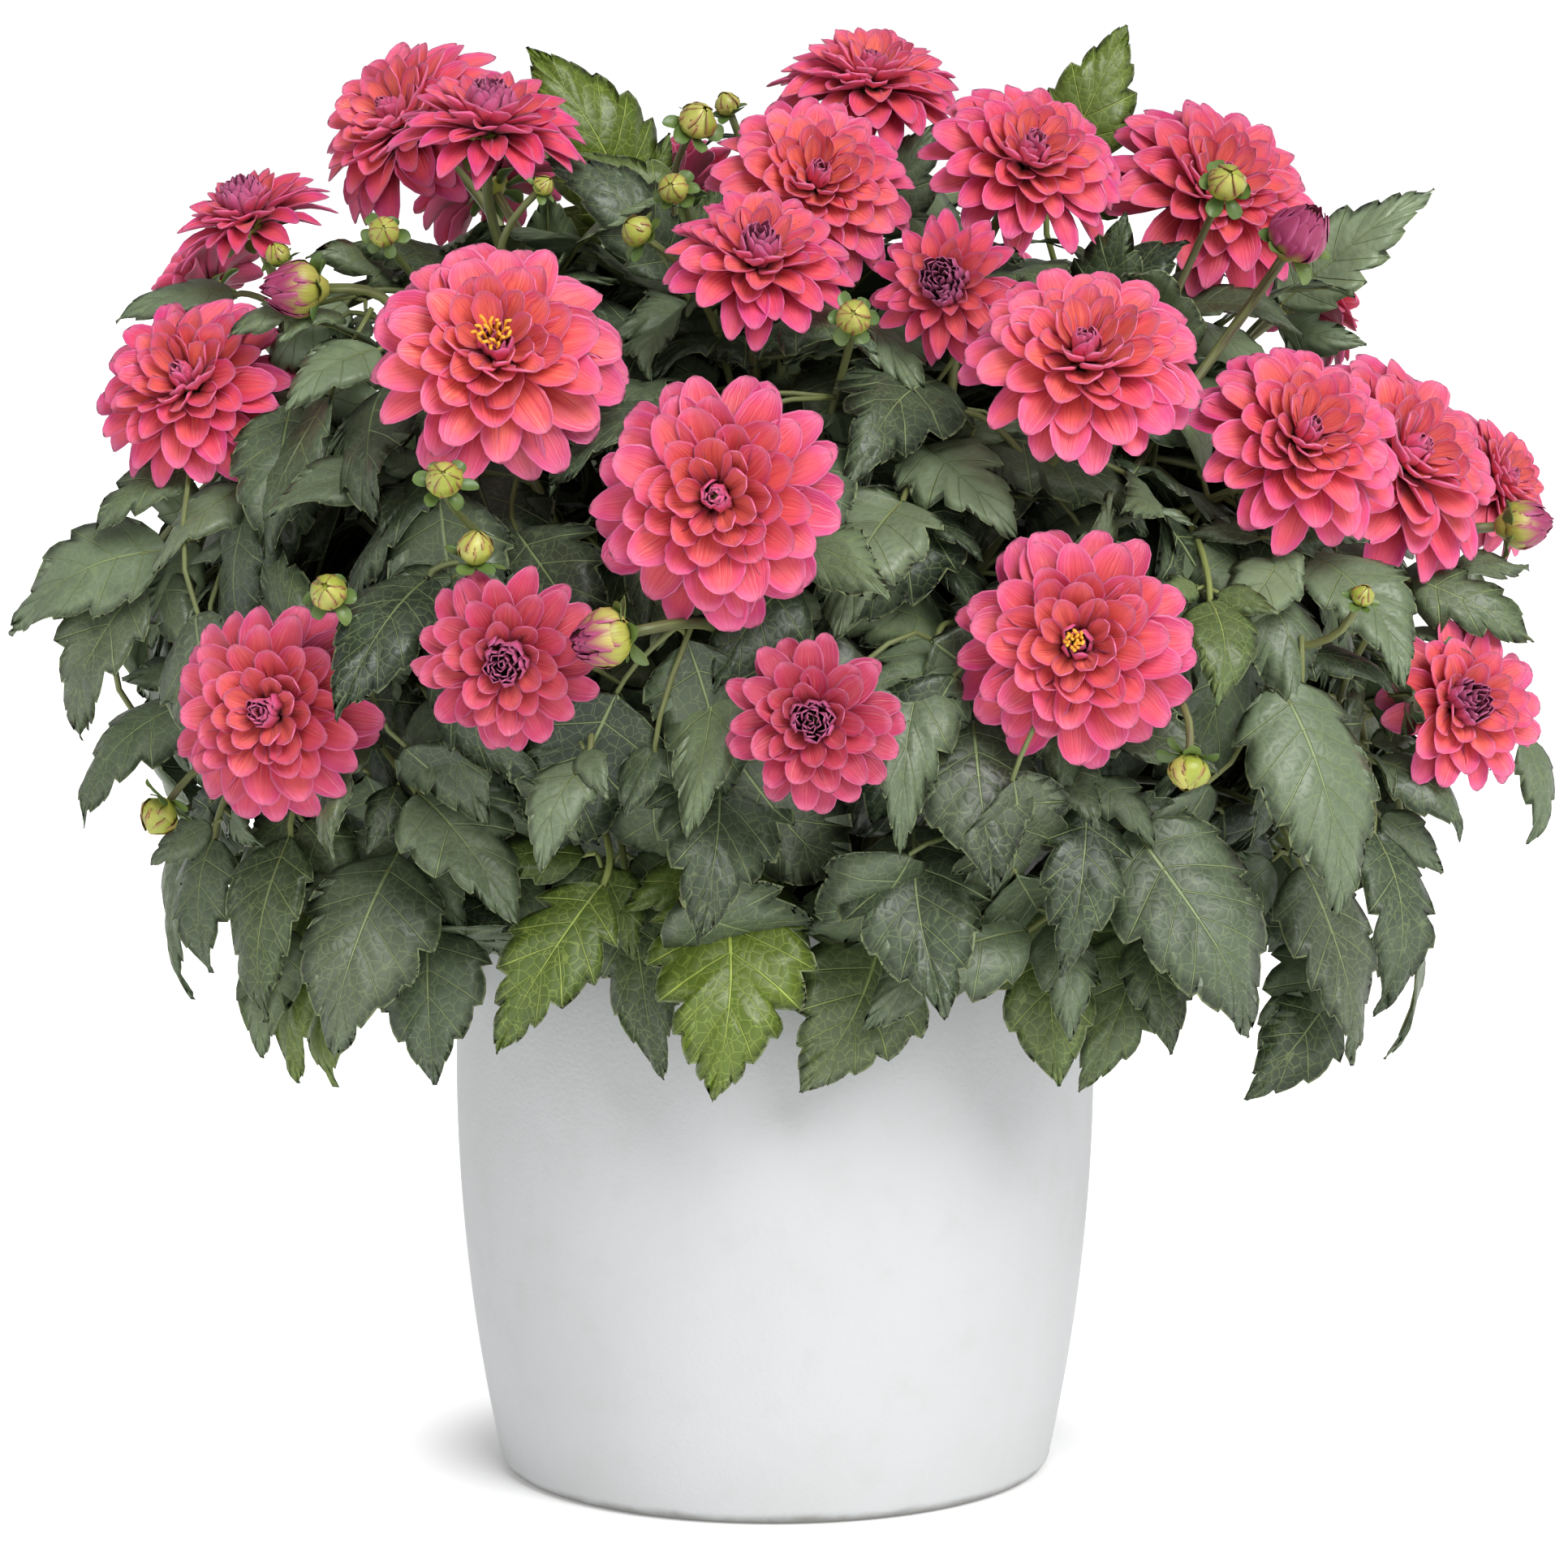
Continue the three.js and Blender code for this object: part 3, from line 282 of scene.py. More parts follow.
# Blooms: stem, middle, radius, the way the face looks (azimuth, elevation), and how far it has opened
BLOOMS = (
    ("bloom_01", 4, (-266, -60, 513), 45, (-22, 30), 1),
    ("bloom_02", 4, (-242, -14, 588), 36, (-40, 62), 0.5),
    ("bloom_03", 15, (-174, 24, 631), 42, (-55, 36), 1),
    ("bloom_04", 15, (-129, -60, 630), 40, (10, 66), 0.6),
    ("bloom_05", 2, (-120, -190, 533), 55, (0, 38), 1),
    ("bloom_06", 1, (-24, -270, 476), 52, (-3, 6), 1),
    ("bloom_07", 3, (-217, -200, 379), 45, (-15, 6), 0.9),
    ("bloom_08", 2, (-112, -265, 408), 39, (-3, 0), 0.6),
    ("bloom_09", 1, (16, -275, 383), 38, (0, 8), 0.6),
    ("bloom_10", 13, (128, -240, 412), 50, (-5, 10), 1),
    ("bloom_11", 11, (311, -80, 369), 39, (35, 18), 0.6),
    ("bloom_12", 14, (18, -70, 604), 44, (15, 42), 1),
    ("bloom_13", 14, (-7, -150, 572), 40, (5, 45), 0.7),
    ("bloom_14", 16, (44, 20, 650), 43, (10, 62), 1),
    ("bloom_15", 16, (114, -60, 614), 44, (20, 38), 0.9),
    ("bloom_16", 13, (75, -150, 560), 33, (-10, 15), 0.4),
    ("bloom_17", 13, (132, -214, 532), 48, (0, 40), 1),
    ("bloom_18", 10, (203, -6, 600), 46, (24, 42), 1),
    ("bloom_19", 12, (232, -140, 493), 46, (20, 30), 1),
    ("bloom_20", 11, (286, -58, 479), 46, (38, 28), 1),
    ("bloom_21", 10, (339, 22, 463), 36, (55, 25), 1),
    ("bloom_22", 9, (258, 120, 547), 35, (120, 30), 1),
    ("bloom_23", 5, (-276, 100, 553), 33, (-115, 35), 0.7),
    ("bloom_24", 15, (-139, 110, 604), 37, (-140, 45), 1),
    ("bloom_25", 7, (-49, 130, 596), 38, (-170, 45), 0.6),
    ("bloom_26", 6, (-215, 200, 420), 44, (-135, 15), 1),
    ("bloom_27", 7, (-95, 245, 500), 47, (-160, 25), 1),
    ("bloom_28", 8, (40, 265, 400), 42, (175, 10), 0.7),
    ("bloom_29", 8, (110, 215, 535), 45, (155, 35), 1),
    ("bloom_30", 9, (215, 205, 455), 43, (130, 20), 1),
    ("bloom_31", 5, (-290, 150, 400), 38, (-115, 10), 0.9),
)
# By a bloom's number: how it is turned a little away from its solid, and its size over the solid's
TURNED = {3: (-42, 34), 5: (0, 28), 11: (20, 14), 12: (12, 31), 18: (24, 34)}
SIZED = {3: 1.12, 4: 1.06, 5: 0.96, 6: 0.97, 8: 0.96, 9: 0.95, 10: 0.97, 18: 1.1, 20: 1.12, 21: 0.95}
# Blooms whose middle shows its yellow florets, and how widely they spread
STAMENS = {5: 1, 10: 0.6, 27: 0.8}
# How narrow and pointed the petals of some blooms are, and how far the outer petals of others have faded
NARROW = {
    1: 0.25, 2: 1, 3: 0.5, 4: 0.9, 12: 0.2, 13: 0.4, 14: 0.65, 15: 0.2, 16: 0.8, 18: 0.5, 21: 0.3, 25: 0.8
}
FADED = {5: 0.45, 8: 0.3, 11: 0.2, 17: 0.4, 20: 0.5, 21: 0.5}
# How much painted shade darkens the petals of some blooms, most of all the low ones that lie in the plant's
# shade
BLOOM_SHADE = {5: 0.15, 6: 0.4, 7: 0.6, 8: 0.85, 9: 1, 10: 0.4, 16: 0.3, 17: 0.25, 18: 0.4, 19: 0.15, 20: 0.45}

# Opening buds: stem, foot, radius and the way that they point
OPENING_BUDS = (
    ("opening_bud_1", 4, (-202, -80, 557), 12.5, (-75, 0)),
    ("opening_bud_2", 1, (-60, -284, 421), 12, (-60, -8)),
    ("opening_bud_3", 11, (333, -30, 446), 11, (85, 5)),
    ("opening_bud_4", 12, (230, -72, 572), 13, (35, 45)),
)
# By an opening bud's number: how far it has coloured, where that isn't usual
RIPE = {4: 1, 3: 0.15, 2: -0.15}
USUAL_RIPE = 0.2

# Closed green buds, which are one body with their stem: its number, foot, radius and the way that they point
GREEN_BUDS = (
    (15, (-174, -90, 581), 7, (0, 15)),
    (2, (-139, -240, 479), 8, (0, 25)),
    (2, (-126, -258, 447), 8, (20, 70)),
    (3, (-188, -226, 430), 8, (-10, 25)),
    (3, (-268, -140, 333), 9, (-60, -50)),
    (14, (-38, -60, 626), 9, (30, 40)),
    (14, (-44, -88, 600), 7, (-10, 15)),
    (14, (-56, -122, 580), 7.5, (-50, 30)),
    (1, (34, -200, 547), 7.5, (0, 15)),
    (12, (201, -76, 600), 9, (10, 30)),
    (13, (176, -246, 366), 9, (-10, -60)),
    (14, (-20, -14, 634), 6, (-40, 60)),
    (15, (-106, -96, 600), 5, (60, 40)),
    (12, (253, -186, 424), 5.5, (30, 50)),
    (4, (-224, -40, 566), 6, (-60, 60)),
    (6, (-150, 232, 480), 8, (-150, 30)),
    (8, (150, 246, 452), 8, (150, 20)),
    (7, (-10, 228, 560), 7.5, (175, 50)),
)
BLOOM_BACK = 0.3
BUD_BACK = 0.1
GREEN_BUD_DEPTH = 0.3

# Petals: shares of the length and of the half width that the rows and columns of a sheet stand at
PETAL = ((0, 0.24, 0.46, 0.64, 0.79, 0.9, 0.97, 1), (-1, -0.88, -0.5, 0, 0.5, 0.88, 1))
SMALL_PETAL = ((0, 0.28, 0.54, 0.77, 0.92, 0.985, 1), (-1, -0.82, 0, 0.82, 1))
PETAL_WIDEST = 0.66
RAYS = (10, 66)
# The narrowest petals over the usual ones: how many, how wide, how much lower and how much more cupped
NARROW_RAYS = 1.3
NARROW_WIDTH = 0.82
NARROW_DROOP = 0.1
NARROW_CUP = 1.4
POINTED = (0.22, 0.8)
# The heart of a closed and of a fully open bloom: its petals, their reach, height and how plum they are
HEART_PETALS = (60, 13)
HEART_RADIUS = (0.58, 0.12)
HEART_PLUM = (1, 0.08)
HEART_HEIGHT = (0.66, 0.38)
BLOOM_SPREAD = 1.05
# The heart round the yellow florets: its petals, their reach, height and how plum they are
FLORET_HEART = (9, 0.17, 0.34, 0.2)
STAMEN_COUNT = 18
STAMEN_RADII = (0.4, 0.5, 0.75, 0.85, 0.4)
CUP_PROFILE = ((0, -0.3), (0.07, -0.3), (0.12, -0.26), (0.2, -0.2), (0.22, -0.12), (0.14, -0.06), (0, -0.05))
CUP_BRACTS = 7
OPENING_PROFILE = ((0, -0.1), (0.3, -0.1), (0.62, 0.3), (0.86, 0.95), (0.6, 1.55), (0, 1.75))
GREEN_PROFILE = ((0, 0.1), (0.4, 0.12), (0.8, 0.55), (0.88, 1.05), (0.62, 1.55), (0, 1.8))
# The bracts at the foot of a bud: how many, their reach and width in the bud's radii
OPENING_BRACTS = (6, 1.25, 0.42)
GREEN_BRACTS = (6, 1.55, 0.5)
CORE_SIDES = 20
PETAL_THICKNESS = 0.011
# How strongly a petal's rim is ruffled and its face pleated, and how far it leans to one side
PETAL_RUFFLE = 0.18
PETAL_PLEAT = 0.035
PETAL_LEAN = 0.14

# Leaf blades: shares of the half width that the columns stand at, within each tooth its rows and how far it
# is filled out there, the length of a tooth, and the fewest and most teeth
COARSE_TOOTH = ((0, 1), (0.3, 0.1))
TOOTH = ((0, 1), (0.13, 0), (0.45, 0.5), (0.76, 0.82))
MAIN_BLADE = ((0, 0.08, 0.36, 0.68, 1), TOOTH, 12, (5, 8))
SIDE_BLADE = ((0, 0.42, 1), TOOTH, 12, (4, 6))
INNER_BLADE = ((0, 0.5, 1), TOOTH, 15, (4, 6))
DEEP_BLADE = ((0, 0.5, 1), COARSE_TOOTH, 18, (4, 5))
BLADE_THICKNESS = 0.5
BLADE_NARROWEST = 0.7
# Random ranges of a blade: how deep its teeth are, the power that sets its widest place, how lopsided it is,
# how far its sides droop and fold up, and as shares of its length its curled tip and sideways bend
TOOTH_DEPTH = (0.12, 0.26)
BLADE_POWER = (0.56, 0.68)
BLADE_LOPSIDED = (0.9, 1.1)
BLADE_DROOP = (0, 0.42)
BLADE_FOLD = (0, 0.5)
BLADE_CURL = (0.01, 0.13)
BLADE_TWIST = (-0.45, 0.45)
BLADE_BEND = (-0.07, 0.07)
# The cut between two lobes that some blades have: how deep, where along the blade and how wide
LOBE = {"depth": 0.9, "place": (0.25, 0.45), "width": 0.1}
# How unevenly deep a blade's teeth are, and how far they point forward
TOOTH_UNEVEN = 0.45
TOOTH_HOOK = 0.14
# How far a blade's face rises between its veins, ripples along its rim and rolls, as shares of its width
BLADE_RELIEF = (0.02, 0.05, 0.03)
VEIN_SWEEP = 0.25
# The pair of leaflets on a large leaf's petiole, if that is long enough: where they leave it, how they turn
# and tilt, their size over the leaf's, and their own stalk, width and arch
LEAFLET = {
    "shortest petiole": 40,
    "back": (0.16, 0.24),
    "down": 0.6,
    "turn": (0.7, 1.15),
    "tilt": (-0.3, 0.4),
    "share": 0.56,
    "size": (0.8, 1.15),
    "stalk": 6,
    "width": 0.56,
    "arch": 0.4,
    "young": 0.8,
}
# The radius and steps of a petiole, of a large leaf, a small one and a side leaflet, and how brown it is
PETIOLES = {"large": (1.5, 7), "small": (1.15, 4), "leaflet": (0.9, 4)}
PETIOLE_BROWN = 0.3
# Leaves inside the canopy: how many in each layer, how deep below the surface, how their blades are made and
# how light they are
# The deeper layers are less light because painted shade darkens them
INNER_LAYERS = (
    (190, (26, 62), INNER_BLADE, 0.6),
    (160, (60, 105), DEEP_BLADE, 0.25),
    (100, (105, 160), DEEP_BLADE, 0.1),
)
INNER_YAW = 1.6
INNER_LIFT = (0.3, -0.1)
INNER_LIFT_SPREAD = 0.5
INNER_LENGTH = (70, 106)
INNER_ROLL = 0.8
INNER_ARCH = 0.4
INNER_WIDTH = 0.64
# How far below their bases the inner leaves and the sprigs look for the stem that they grow from
INNER_BELOW = 26
SPRIG_BELOW = 20
LONGEST_PETIOLE = 130
LOWEST_LEAF = 222
# How far a leaf stays off a bloom's middle, over the bloom's radius
BLOOM_ROOM = 1.05
# Painted shade on the lowest leaves: their tone over that of the high ones, and the heights between which it
# changes
LOW_SHADE = {"share": 0.5, "heights": (240, 460)}
# Pairs of leaves on the flower stalks: shares of the stalk that they stand at, their lengths and their rise
STALK_PAIRS = (0.3, 0.58)
STALK_LEAF = (58, 84)
STALK_LEAF_RISE = (-0.1, 0.75)
STALK_LEAF_FOOT = (8, 22)
STALK_LEAF_UP = 0.6
STALK_LEAF_WIDTH = 0.58
STALK_LEAF_YOUNG = 0.12

KEY = {"from": (28, 43), "strength": 3.16, "softness": 40}
ROOM = {"heights": (0.06, 0.4), "strengths": (1.03, 0.3)}
# How strongly the floor's painted glow shines at the pot's foot and beyond it, and from where to where in
# metres it changes
# Less painted glow at the foot leaves a painted contact shadow; more beyond it hides the plant's cast shadow
PAINTED_FLOOR_GLOW = {"reach": (0.13, 0.2), "strengths": (0.2, 0.84)}
FLOOR = {"radius": 30000, "sides": 64}
CAMERA = {"aim": (4.2, 0, 322.8), "distance": 2600, "elevation": 7, "lens": 127.3, "sensor": 36, "far": 100}


def mix(a, b, share):
    return a + (b - a) * share


def seeded(seed):
    """A seeded generator of numbers from 0 to 1."""
    state = (int(seed) * 7919 + 12345) % 2147483647
    while True:
        state = state * 48271 % 2147483647
        yield state / 2147483647


def around(azimuth, radius, z):
    """A point at a radius and height on an azimuth that runs from the front (-Y) towards +X."""
    return Vector((radius * math.sin(azimuth), -radius * math.cos(azimuth), z))


def looking(faces):
    azimuth, elevation = (math.radians(angle) for angle in faces)
    return around(azimuth, math.cos(elevation), math.sin(elevation))


# Paths of the stems and stalks
def cubic(a, b, c, d, steps):
    shares = [i / steps for i in range(steps + 1)]
    return [a * (1 - t) ** 3 + b * 3 * t * (1 - t) ** 2 + c * 3 * t * t * (1 - t) + d * t**3 for t in shares]


def quadratic(a, b, c, steps):
    shares = [i / steps for i in range(steps + 1)]
    return [a * (1 - t) ** 2 + b * 2 * t * (1 - t) + c * t * t for t in shares]


def stem_path(stem, steps=COARSE["stem"]):
    _, azimuth, foot, (reach, height), _ = stem
    angle = math.radians(azimuth)
    top = SOIL_TOP + STEM_COLLAR
    curve = cubic(
        around(angle, foot, top),
        around(angle, foot, top + STEM_RISE),
        around(angle, mix(foot, reach, STEM_BEND[0]), mix(top, height, STEM_BEND[1])),
        around(angle, reach, height),
        steps,
    )
    return [around(angle, foot, SOIL_TOP - STEM_DEPTH)] + curve


def stalk_path(stem, rank, end, direction, steps=COARSE["stalk"]):
    below, fork = stem_path(stem)[-2:]
    start = fork.lerp(below, STALK_SPACING * rank)
    neck = end - direction * STALK_NECK
    span = (neck - start).length
    lower = start.lerp(neck, STALK_BEND) + Vector((0, 0, span * STALK_RISE))
    upper = neck - direction * span * STALK_BEND
    return cubic(start, lower, upper, neck, steps) + [end]


def shoot_path(stem, steps=COARSE["stalk"]):
    start = stem_path(stem)[SHOOT_START]
    end = around(math.radians(stem[1]), *SHOOT_END)
    middle = start.lerp(end, 0.5) + Vector((0, 0, SHOOT_RISE))
    return quadratic(start, middle, end, steps)


def flower_stalks():
    """The stem, end, direction and radius of every stalk, in the order in which they leave the stems."""
    flowers = [(stem, at, radius, faces, -BLOOM_BACK) for _, stem, at, radius, faces, _ in BLOOMS]
    flowers += [(stem, at, radius, faces, -BUD_BACK) for _, stem, at, radius, faces in OPENING_BUDS]
    for stem, at, radius, faces, back in flowers:
        direction = looking(faces)
        yield stem, Vector(at) + direction * (back * radius - SEAT_GAP), direction, STALK_RADIUS
    for stem, at, radius, faces in GREEN_BUDS:
        direction = looking(faces)
        yield stem, Vector(at) + direction * radius * GREEN_BUD_DEPTH, direction, BUD_STALK_RADIUS


def all_paths(steps):
    """Every path as (stem number, kind, points, radius)."""
    ranks = {}
    for number, stem in enumerate(STEMS, 1):
        yield number, "stem", stem_path(stem, steps["stem"]), STEM_RADIUS
        if stem[4]:
            yield number, "shoot", shoot_path(stem, steps["stalk"]), STALK_RADIUS
    for number, end, direction, radius in flower_stalks():
        rank = ranks.get(number, 0)
        ranks[number] = rank + 1
        path = stalk_path(STEMS[number - 1], rank, end, direction, steps["stalk"])
        yield number, "stalk", path, radius


def stem_points():
    """The places that a leaf of the solids may grow from, as (point, stem number)."""
    for number, _, path, _ in all_paths(COARSE):
        for start, end in zip(path, path[1:]):
            count = math.ceil((end - start).length / ROOT_STEP)
            for n in range(count):
                at = start.lerp(end, (n + 0.5) / count)
                if at.z > ROOT_LOWEST:
                    yield at, number


# Where the solids' leaves are
class Pose:
    """A leaf's base, the direction of its midrib, its right side and upper face, and its size."""

    def __init__(self, base, axis, upward, length, width, arch, mirror):
        self.base, self.axis = base, axis.normalized()
        self.side = self.axis.cross(upward).normalized()
        self.normal = self.side.cross(self.axis)
        self.length, self.width, self.arch, self.mirror = length, width, arch, mirror

    @property
    def tip(self):
        return self.base + self.axis * self.length

    def at(self, u, y, z):
        """Points from shares of the length, distances to the right and heights over the midrib's own arch."""
        arch = self.length * self.arch * u * (1 - u) + z
        columns = ((self.axis, self.length * u), (self.side, y), (self.normal, arch))
        return np.array(self.base) + sum(value[..., None] * np.array(vector) for vector, value in columns)


def placed_pose(i, k):
    base, tip, faces, width = PLACED_LEAVES[i]
    upward = looking(faces)
    move = upward * LEAF_STEP * math.ceil(k / 2) * (-1 if k % 2 else 1)
    start = Vector(base) + move
    axis = Vector(tip) + move - start
    return Pose(start, axis, upward, axis.length, width * axis.length, LEAF_ARCH, i % 2 == 1)


def canopy_point(share):
    """The radius, height and slope of the canopy at a share of its area, measured from the crown."""
    bands = list(zip(CANOPY, CANOPY[1:]))
    areas = [(a[0] + b[0]) / 2 * math.dist(a, b) for a, b in bands]
    left = share * sum(areas)
    for ((r0, z0), (r1, z1)), area in zip(bands, areas):
        if left <= area:
            break
        left -= area
    r = math.sqrt(mix(r0 * r0, r1 * r1, left / area))
    return r, mix(z0, z1, (r - r0) / (r1 - r0)), math.atan2(z1 - z0, r1 - r0)


def canopy_pose(share, azimuth, yaw, lift, length, sunk, roll, arch, width, mirror):
    """A leaf that lies along the canopy, turned by yaw, raised by lift and sunk below its surface."""
    r, z, slope = canopy_point(share)
    level = around(azimuth, 1, 0)
    down = level * math.cos(slope) + Vector((0, 0, math.sin(slope)))
    outward = level * -math.sin(slope) + Vector((0, 0, math.cos(slope)))
    axis = Quaternion(outward, yaw) @ down * math.cos(lift) + outward * math.sin(lift)
    axis.normalize()
    base = Vector((level.x * r, level.y * r * CANOPY_DEPTH, z)) - outward * sunk - axis * length / 2
    return Pose(base, axis, Quaternion(axis, roll) @ outward, length, width * length, arch, mirror)


def fill_pose(i, k):
    draw = seeded(SEED + i * 31 + k * 977)
    share = (i + 0.5) / FILL_LEAVES
    azimuth = i * GOLDEN_ANGLE + (next(draw) - 0.5) * FILL_AZIMUTH
    if math.cos(azimuth) > 0 and share > CROWN_SHARE:
        return None
    yaw = (next(draw) - 0.5) * (FILL_YAW[0] + FILL_YAW[1] * k)
    lift = mix(*FILL_LIFT, share) + (next(draw) - 0.5) * FILL_LIFT_SPREAD
    length = mix(*FILL_LENGTH, next(draw)) * (FILL_SMALLER if k > LEAF_TRIES / 2 else 1)
    sunk = FILL_SUNK[0] + FILL_SUNK[1] * next(draw) + LEAF_STEP * k
    roll = (next(draw) - 0.5) * FILL_ROLL
    arch = LEAF_ARCH * (FILL_ARCH + next(draw))
    return canopy_pose(share, azimuth, yaw, lift, length, sunk, roll, arch, FILL_WIDTH, i % 2 == 1)


def corner_tree():
    """The corners of all the stems' solids."""
    solids = [frame["nodes"][name].data for name, *_ in STEMS]
    corners = {tuple(round(c / MM, 3) for c in v.co) for solid in solids for v in solid.vertices}
    tree = KDTree(len(corners))
    for i, corner in enumerate(corners):
        tree.insert(corner, i)
    tree.balance()
    return tree


def root_of(pose, roots, corners):
    """The place that a leaf of the solids grows from, told by the corners of its petiole at the blade."""
    along, under = ROOT_BELOW_BASE
    wanted = pose.base - pose.axis * along - pose.normal * under
    near = sorted(roots, key=lambda root: (root[0] - wanted).length)[:ROOT_CHOICES]

    def miss(root):
        bend = pose.axis.rotation_difference((pose.base - root[0]).normalized())
        half = Quaternion().slerp(bend, 0.5)
        rib = pose.base + half @ pose.normal * PETIOLE_RADIUS
        return corners.find(rib)[2]

    return min(near, key=miss)


def grown_leaves(roots):
    """The leaves that the solids have, as (pose, root, stem number, how young it is, how pale it is)."""
    corners = corner_tree()
    placed = range(len(PLACED_LEAVES))
    choices = [(placed_pose, i, YOUNG_LEAVES.get(i, 0), PALE_LEAVES.get(i, 1)) for i in placed]
    choices += [(fill_pose, i, 0, 1) for i in range(FILL_LEAVES)]
    for pose_at, i, young, pale in choices:
        poses = [pose_at(i, k) for k in range(LEAF_TRIES)]
        found = [pose for pose in poses if pose and corners.find(pose.tip)[2] < LEAF_MATCH]
        if found:
            root, stem = root_of(found[0], roots, corners)
            yield found[0], root, stem, young, pale


# Meshes
class Form:
    """Gathers sheets and tubes and makes one mesh of them.

    Each point has a mark, four numbers that the materials read, and a spot, its place on its own sheet.
    """

    def __init__(self, *materials):
        self.materials = materials
        self.points, self.marks, self.spots, self.faces, self.kinds = [], [], [], [], []
        self.count = 0

    def add(self, points, faces, material, marks=(0, 0, 0, 0), spots=(0, 0)):
        points = np.asarray(points, float).reshape(-1, 3)
        self.points.append(points)
        self.marks.append(np.broadcast_to(marks, (len(points), 4)))
        self.spots.append(np.broadcast_to(spots, (len(points), 2)))
        for group in faces:
            self.faces.append(np.asarray(group) + self.count)
            self.kinds.append(np.full(len(group), self.materials.index(material)))
        self.count += len(points)

    def build(self, name):
        mesh = bpy.data.meshes.new(name)
        points = np.concatenate(self.points) * MM
        corners = np.concatenate([group.ravel() for group in self.faces]).astype(np.int32)
        sizes = np.concatenate([np.full(len(group), group.shape[1]) for group in self.faces])
        mesh.vertices.add(len(points))
        mesh.vertices.foreach_set("co", points.astype(np.float32).ravel())
        mesh.loops.add(len(corners))
        mesh.loops.foreach_set("vertex_index", corners)
        mesh.polygons.add(len(sizes))
        mesh.polygons.foreach_set("loop_start", (np.cumsum(sizes) - sizes).astype(np.int32))
        mesh.polygons.foreach_set("material_index", np.concatenate(self.kinds).astype(np.int32))
        mesh.polygons.foreach_set("use_smooth", np.ones(len(sizes), bool))
        mesh.update(calc_edges=True)
        spots = mesh.uv_layers.new(name="spot")
        spots.uv.foreach_set("vector", np.concatenate(self.spots)[corners].astype(np.float32).ravel())
        marks = mesh.color_attributes.new(name="mark", type="FLOAT_COLOR", domain="POINT")
        marks.data.foreach_set("color", np.concatenate(self.marks).astype(np.float32).ravel())
        for material in self.materials:
            mesh.materials.append(material)
        made = bpy.data.objects.new(name, mesh)
        bpy.context.scene.collection.objects.link(made)
        return made


def sheet_faces(rows, columns):
    """The faces of a closed thin sheet, whose lower side shares the rim of its upper side."""
    upper = np.arange(rows * columns).reshape(rows, columns)
    lower = upper.copy()
    inner = np.arange((rows - 2) * (columns - 2)).reshape(rows - 2, columns - 2)
    lower[1:-1, 1:-1] = rows * columns + inner

    def quads(g):
        return np.stack([g[:-1, :-1], g[:-1, 1:], g[1:, 1:], g[1:, :-1]], -1).reshape(-1, 4)

    return np.concatenate([quads(upper), quads(lower)[:, ::-1]])


def sheets(form, upper, lower, material, marks, lower_marks, spots):
    """Adds closed sheets: grids of points (sheet, row, column, xyz), with their marks and spots."""
    count, rows, columns, _ = upper.shape

    def joined(top, bottom):
        size = top.shape[-1]
        inner = bottom[:, 1:-1, 1:-1]
        return np.concatenate([top.reshape(count, -1, size), inner.reshape(count, -1, size)], 1)

    points = joined(upper, lower)
    starts = np.arange(count) * points.shape[1]
    faces = (sheet_faces(rows, columns) + starts[:, None, None]).reshape(-1, 4)
    marks, spots = joined(marks, lower_marks).reshape(-1, 4), joined(spots, spots).reshape(-1, 2)
    form.add(points, [faces], material, marks, spots)


def ring_walls(rings, sides):
    """The faces between rings of points."""
    first = np.arange(rings - 1)[:, None] * sides
    a, b = first + np.arange(sides), first + (np.arange(sides) + 1) % sides
    return np.stack([a, b, b + sides, a + sides], -1).reshape(-1, 4)


def tube(form, path, radii, sides, material, mark=(0, 0, 0, 0)):
    """Adds a closed tube along a path."""
    path = np.array(path, float)
    radii = np.broadcast_to(radii, len(path))
    along = np.gradient(path, axis=0)
    along /= np.linalg.norm(along, axis=1, keepdims=True)
    across = np.array([0.0, 1, 0] if abs(along[0, 0]) > 0.9 else [1.0, 0, 0])
    turns = evenly(sides)
    rings = []
    for middle, direction, radius in zip(path, along, radii):
        across = across - direction * (across @ direction)
        across /= np.linalg.norm(across)
        up = np.cross(direction, across)
        spokes = np.cos(turns)[:, None] * across + np.sin(turns)[:, None] * up
        rings.append(middle + spokes * radius)
    ends = np.stack([np.arange(sides)[::-1], (len(path) - 1) * sides + np.arange(sides)])
    lengths = np.concatenate([[0], np.cumsum(np.linalg.norm(np.diff(path, axis=0), axis=1))])
    spots = np.stack(np.broadcast_arrays(lengths[:, None], turns[None]), -1).reshape(-1, 2)
    form.add(np.array(rings), [ring_walls(len(path), sides), ends], material, mark, spots)


def lathe(form, profile, sides, material, mark=(0, 0, 0, 0), place=None):
    """Adds a closed body turned round Z from a profile that starts and ends on the axis, put in its place."""
    turns = evenly(sides)
    radii, heights = np.array(profile[1:-1], float).T
    flat = [np.outer(radii, np.cos(turns)), np.outer(radii, np.sin(turns))]
    rings = np.stack([*flat, np.broadcast_to(heights[:, None], flat[0].shape)], -1).reshape(-1, 3)
    points = np.concatenate([rings, [[0, 0, profile[0][1]], [0, 0, profile[-1][1]]]])
    first, count = np.arange(sides), len(rings)
    after = (first + 1) % sides
    low = np.stack([after, first, np.full(sides, count)], -1)
    high = np.stack([first, after, np.full(sides, count + 1)], -1) + [[count - sides, count - sides, 0]]
    faces = [ring_walls(len(radii), sides), np.concatenate([low, high])]
    form.add(place(points) if place else points, faces, material, mark)


# Petals, bud scales and bracts
class Facing:
    """Puts a local form that looks along +Z at a point, looking along a direction."""

    def __init__(self, at, direction, size):
        turn = Vector((0, 0, 1)).rotation_difference(direction).to_matrix()
        self.turn, self.at, self.size = np.array(turn), np.array(at, float), size

    def __call__(self, points):
        return points * self.size @ self.turn.T + self.at


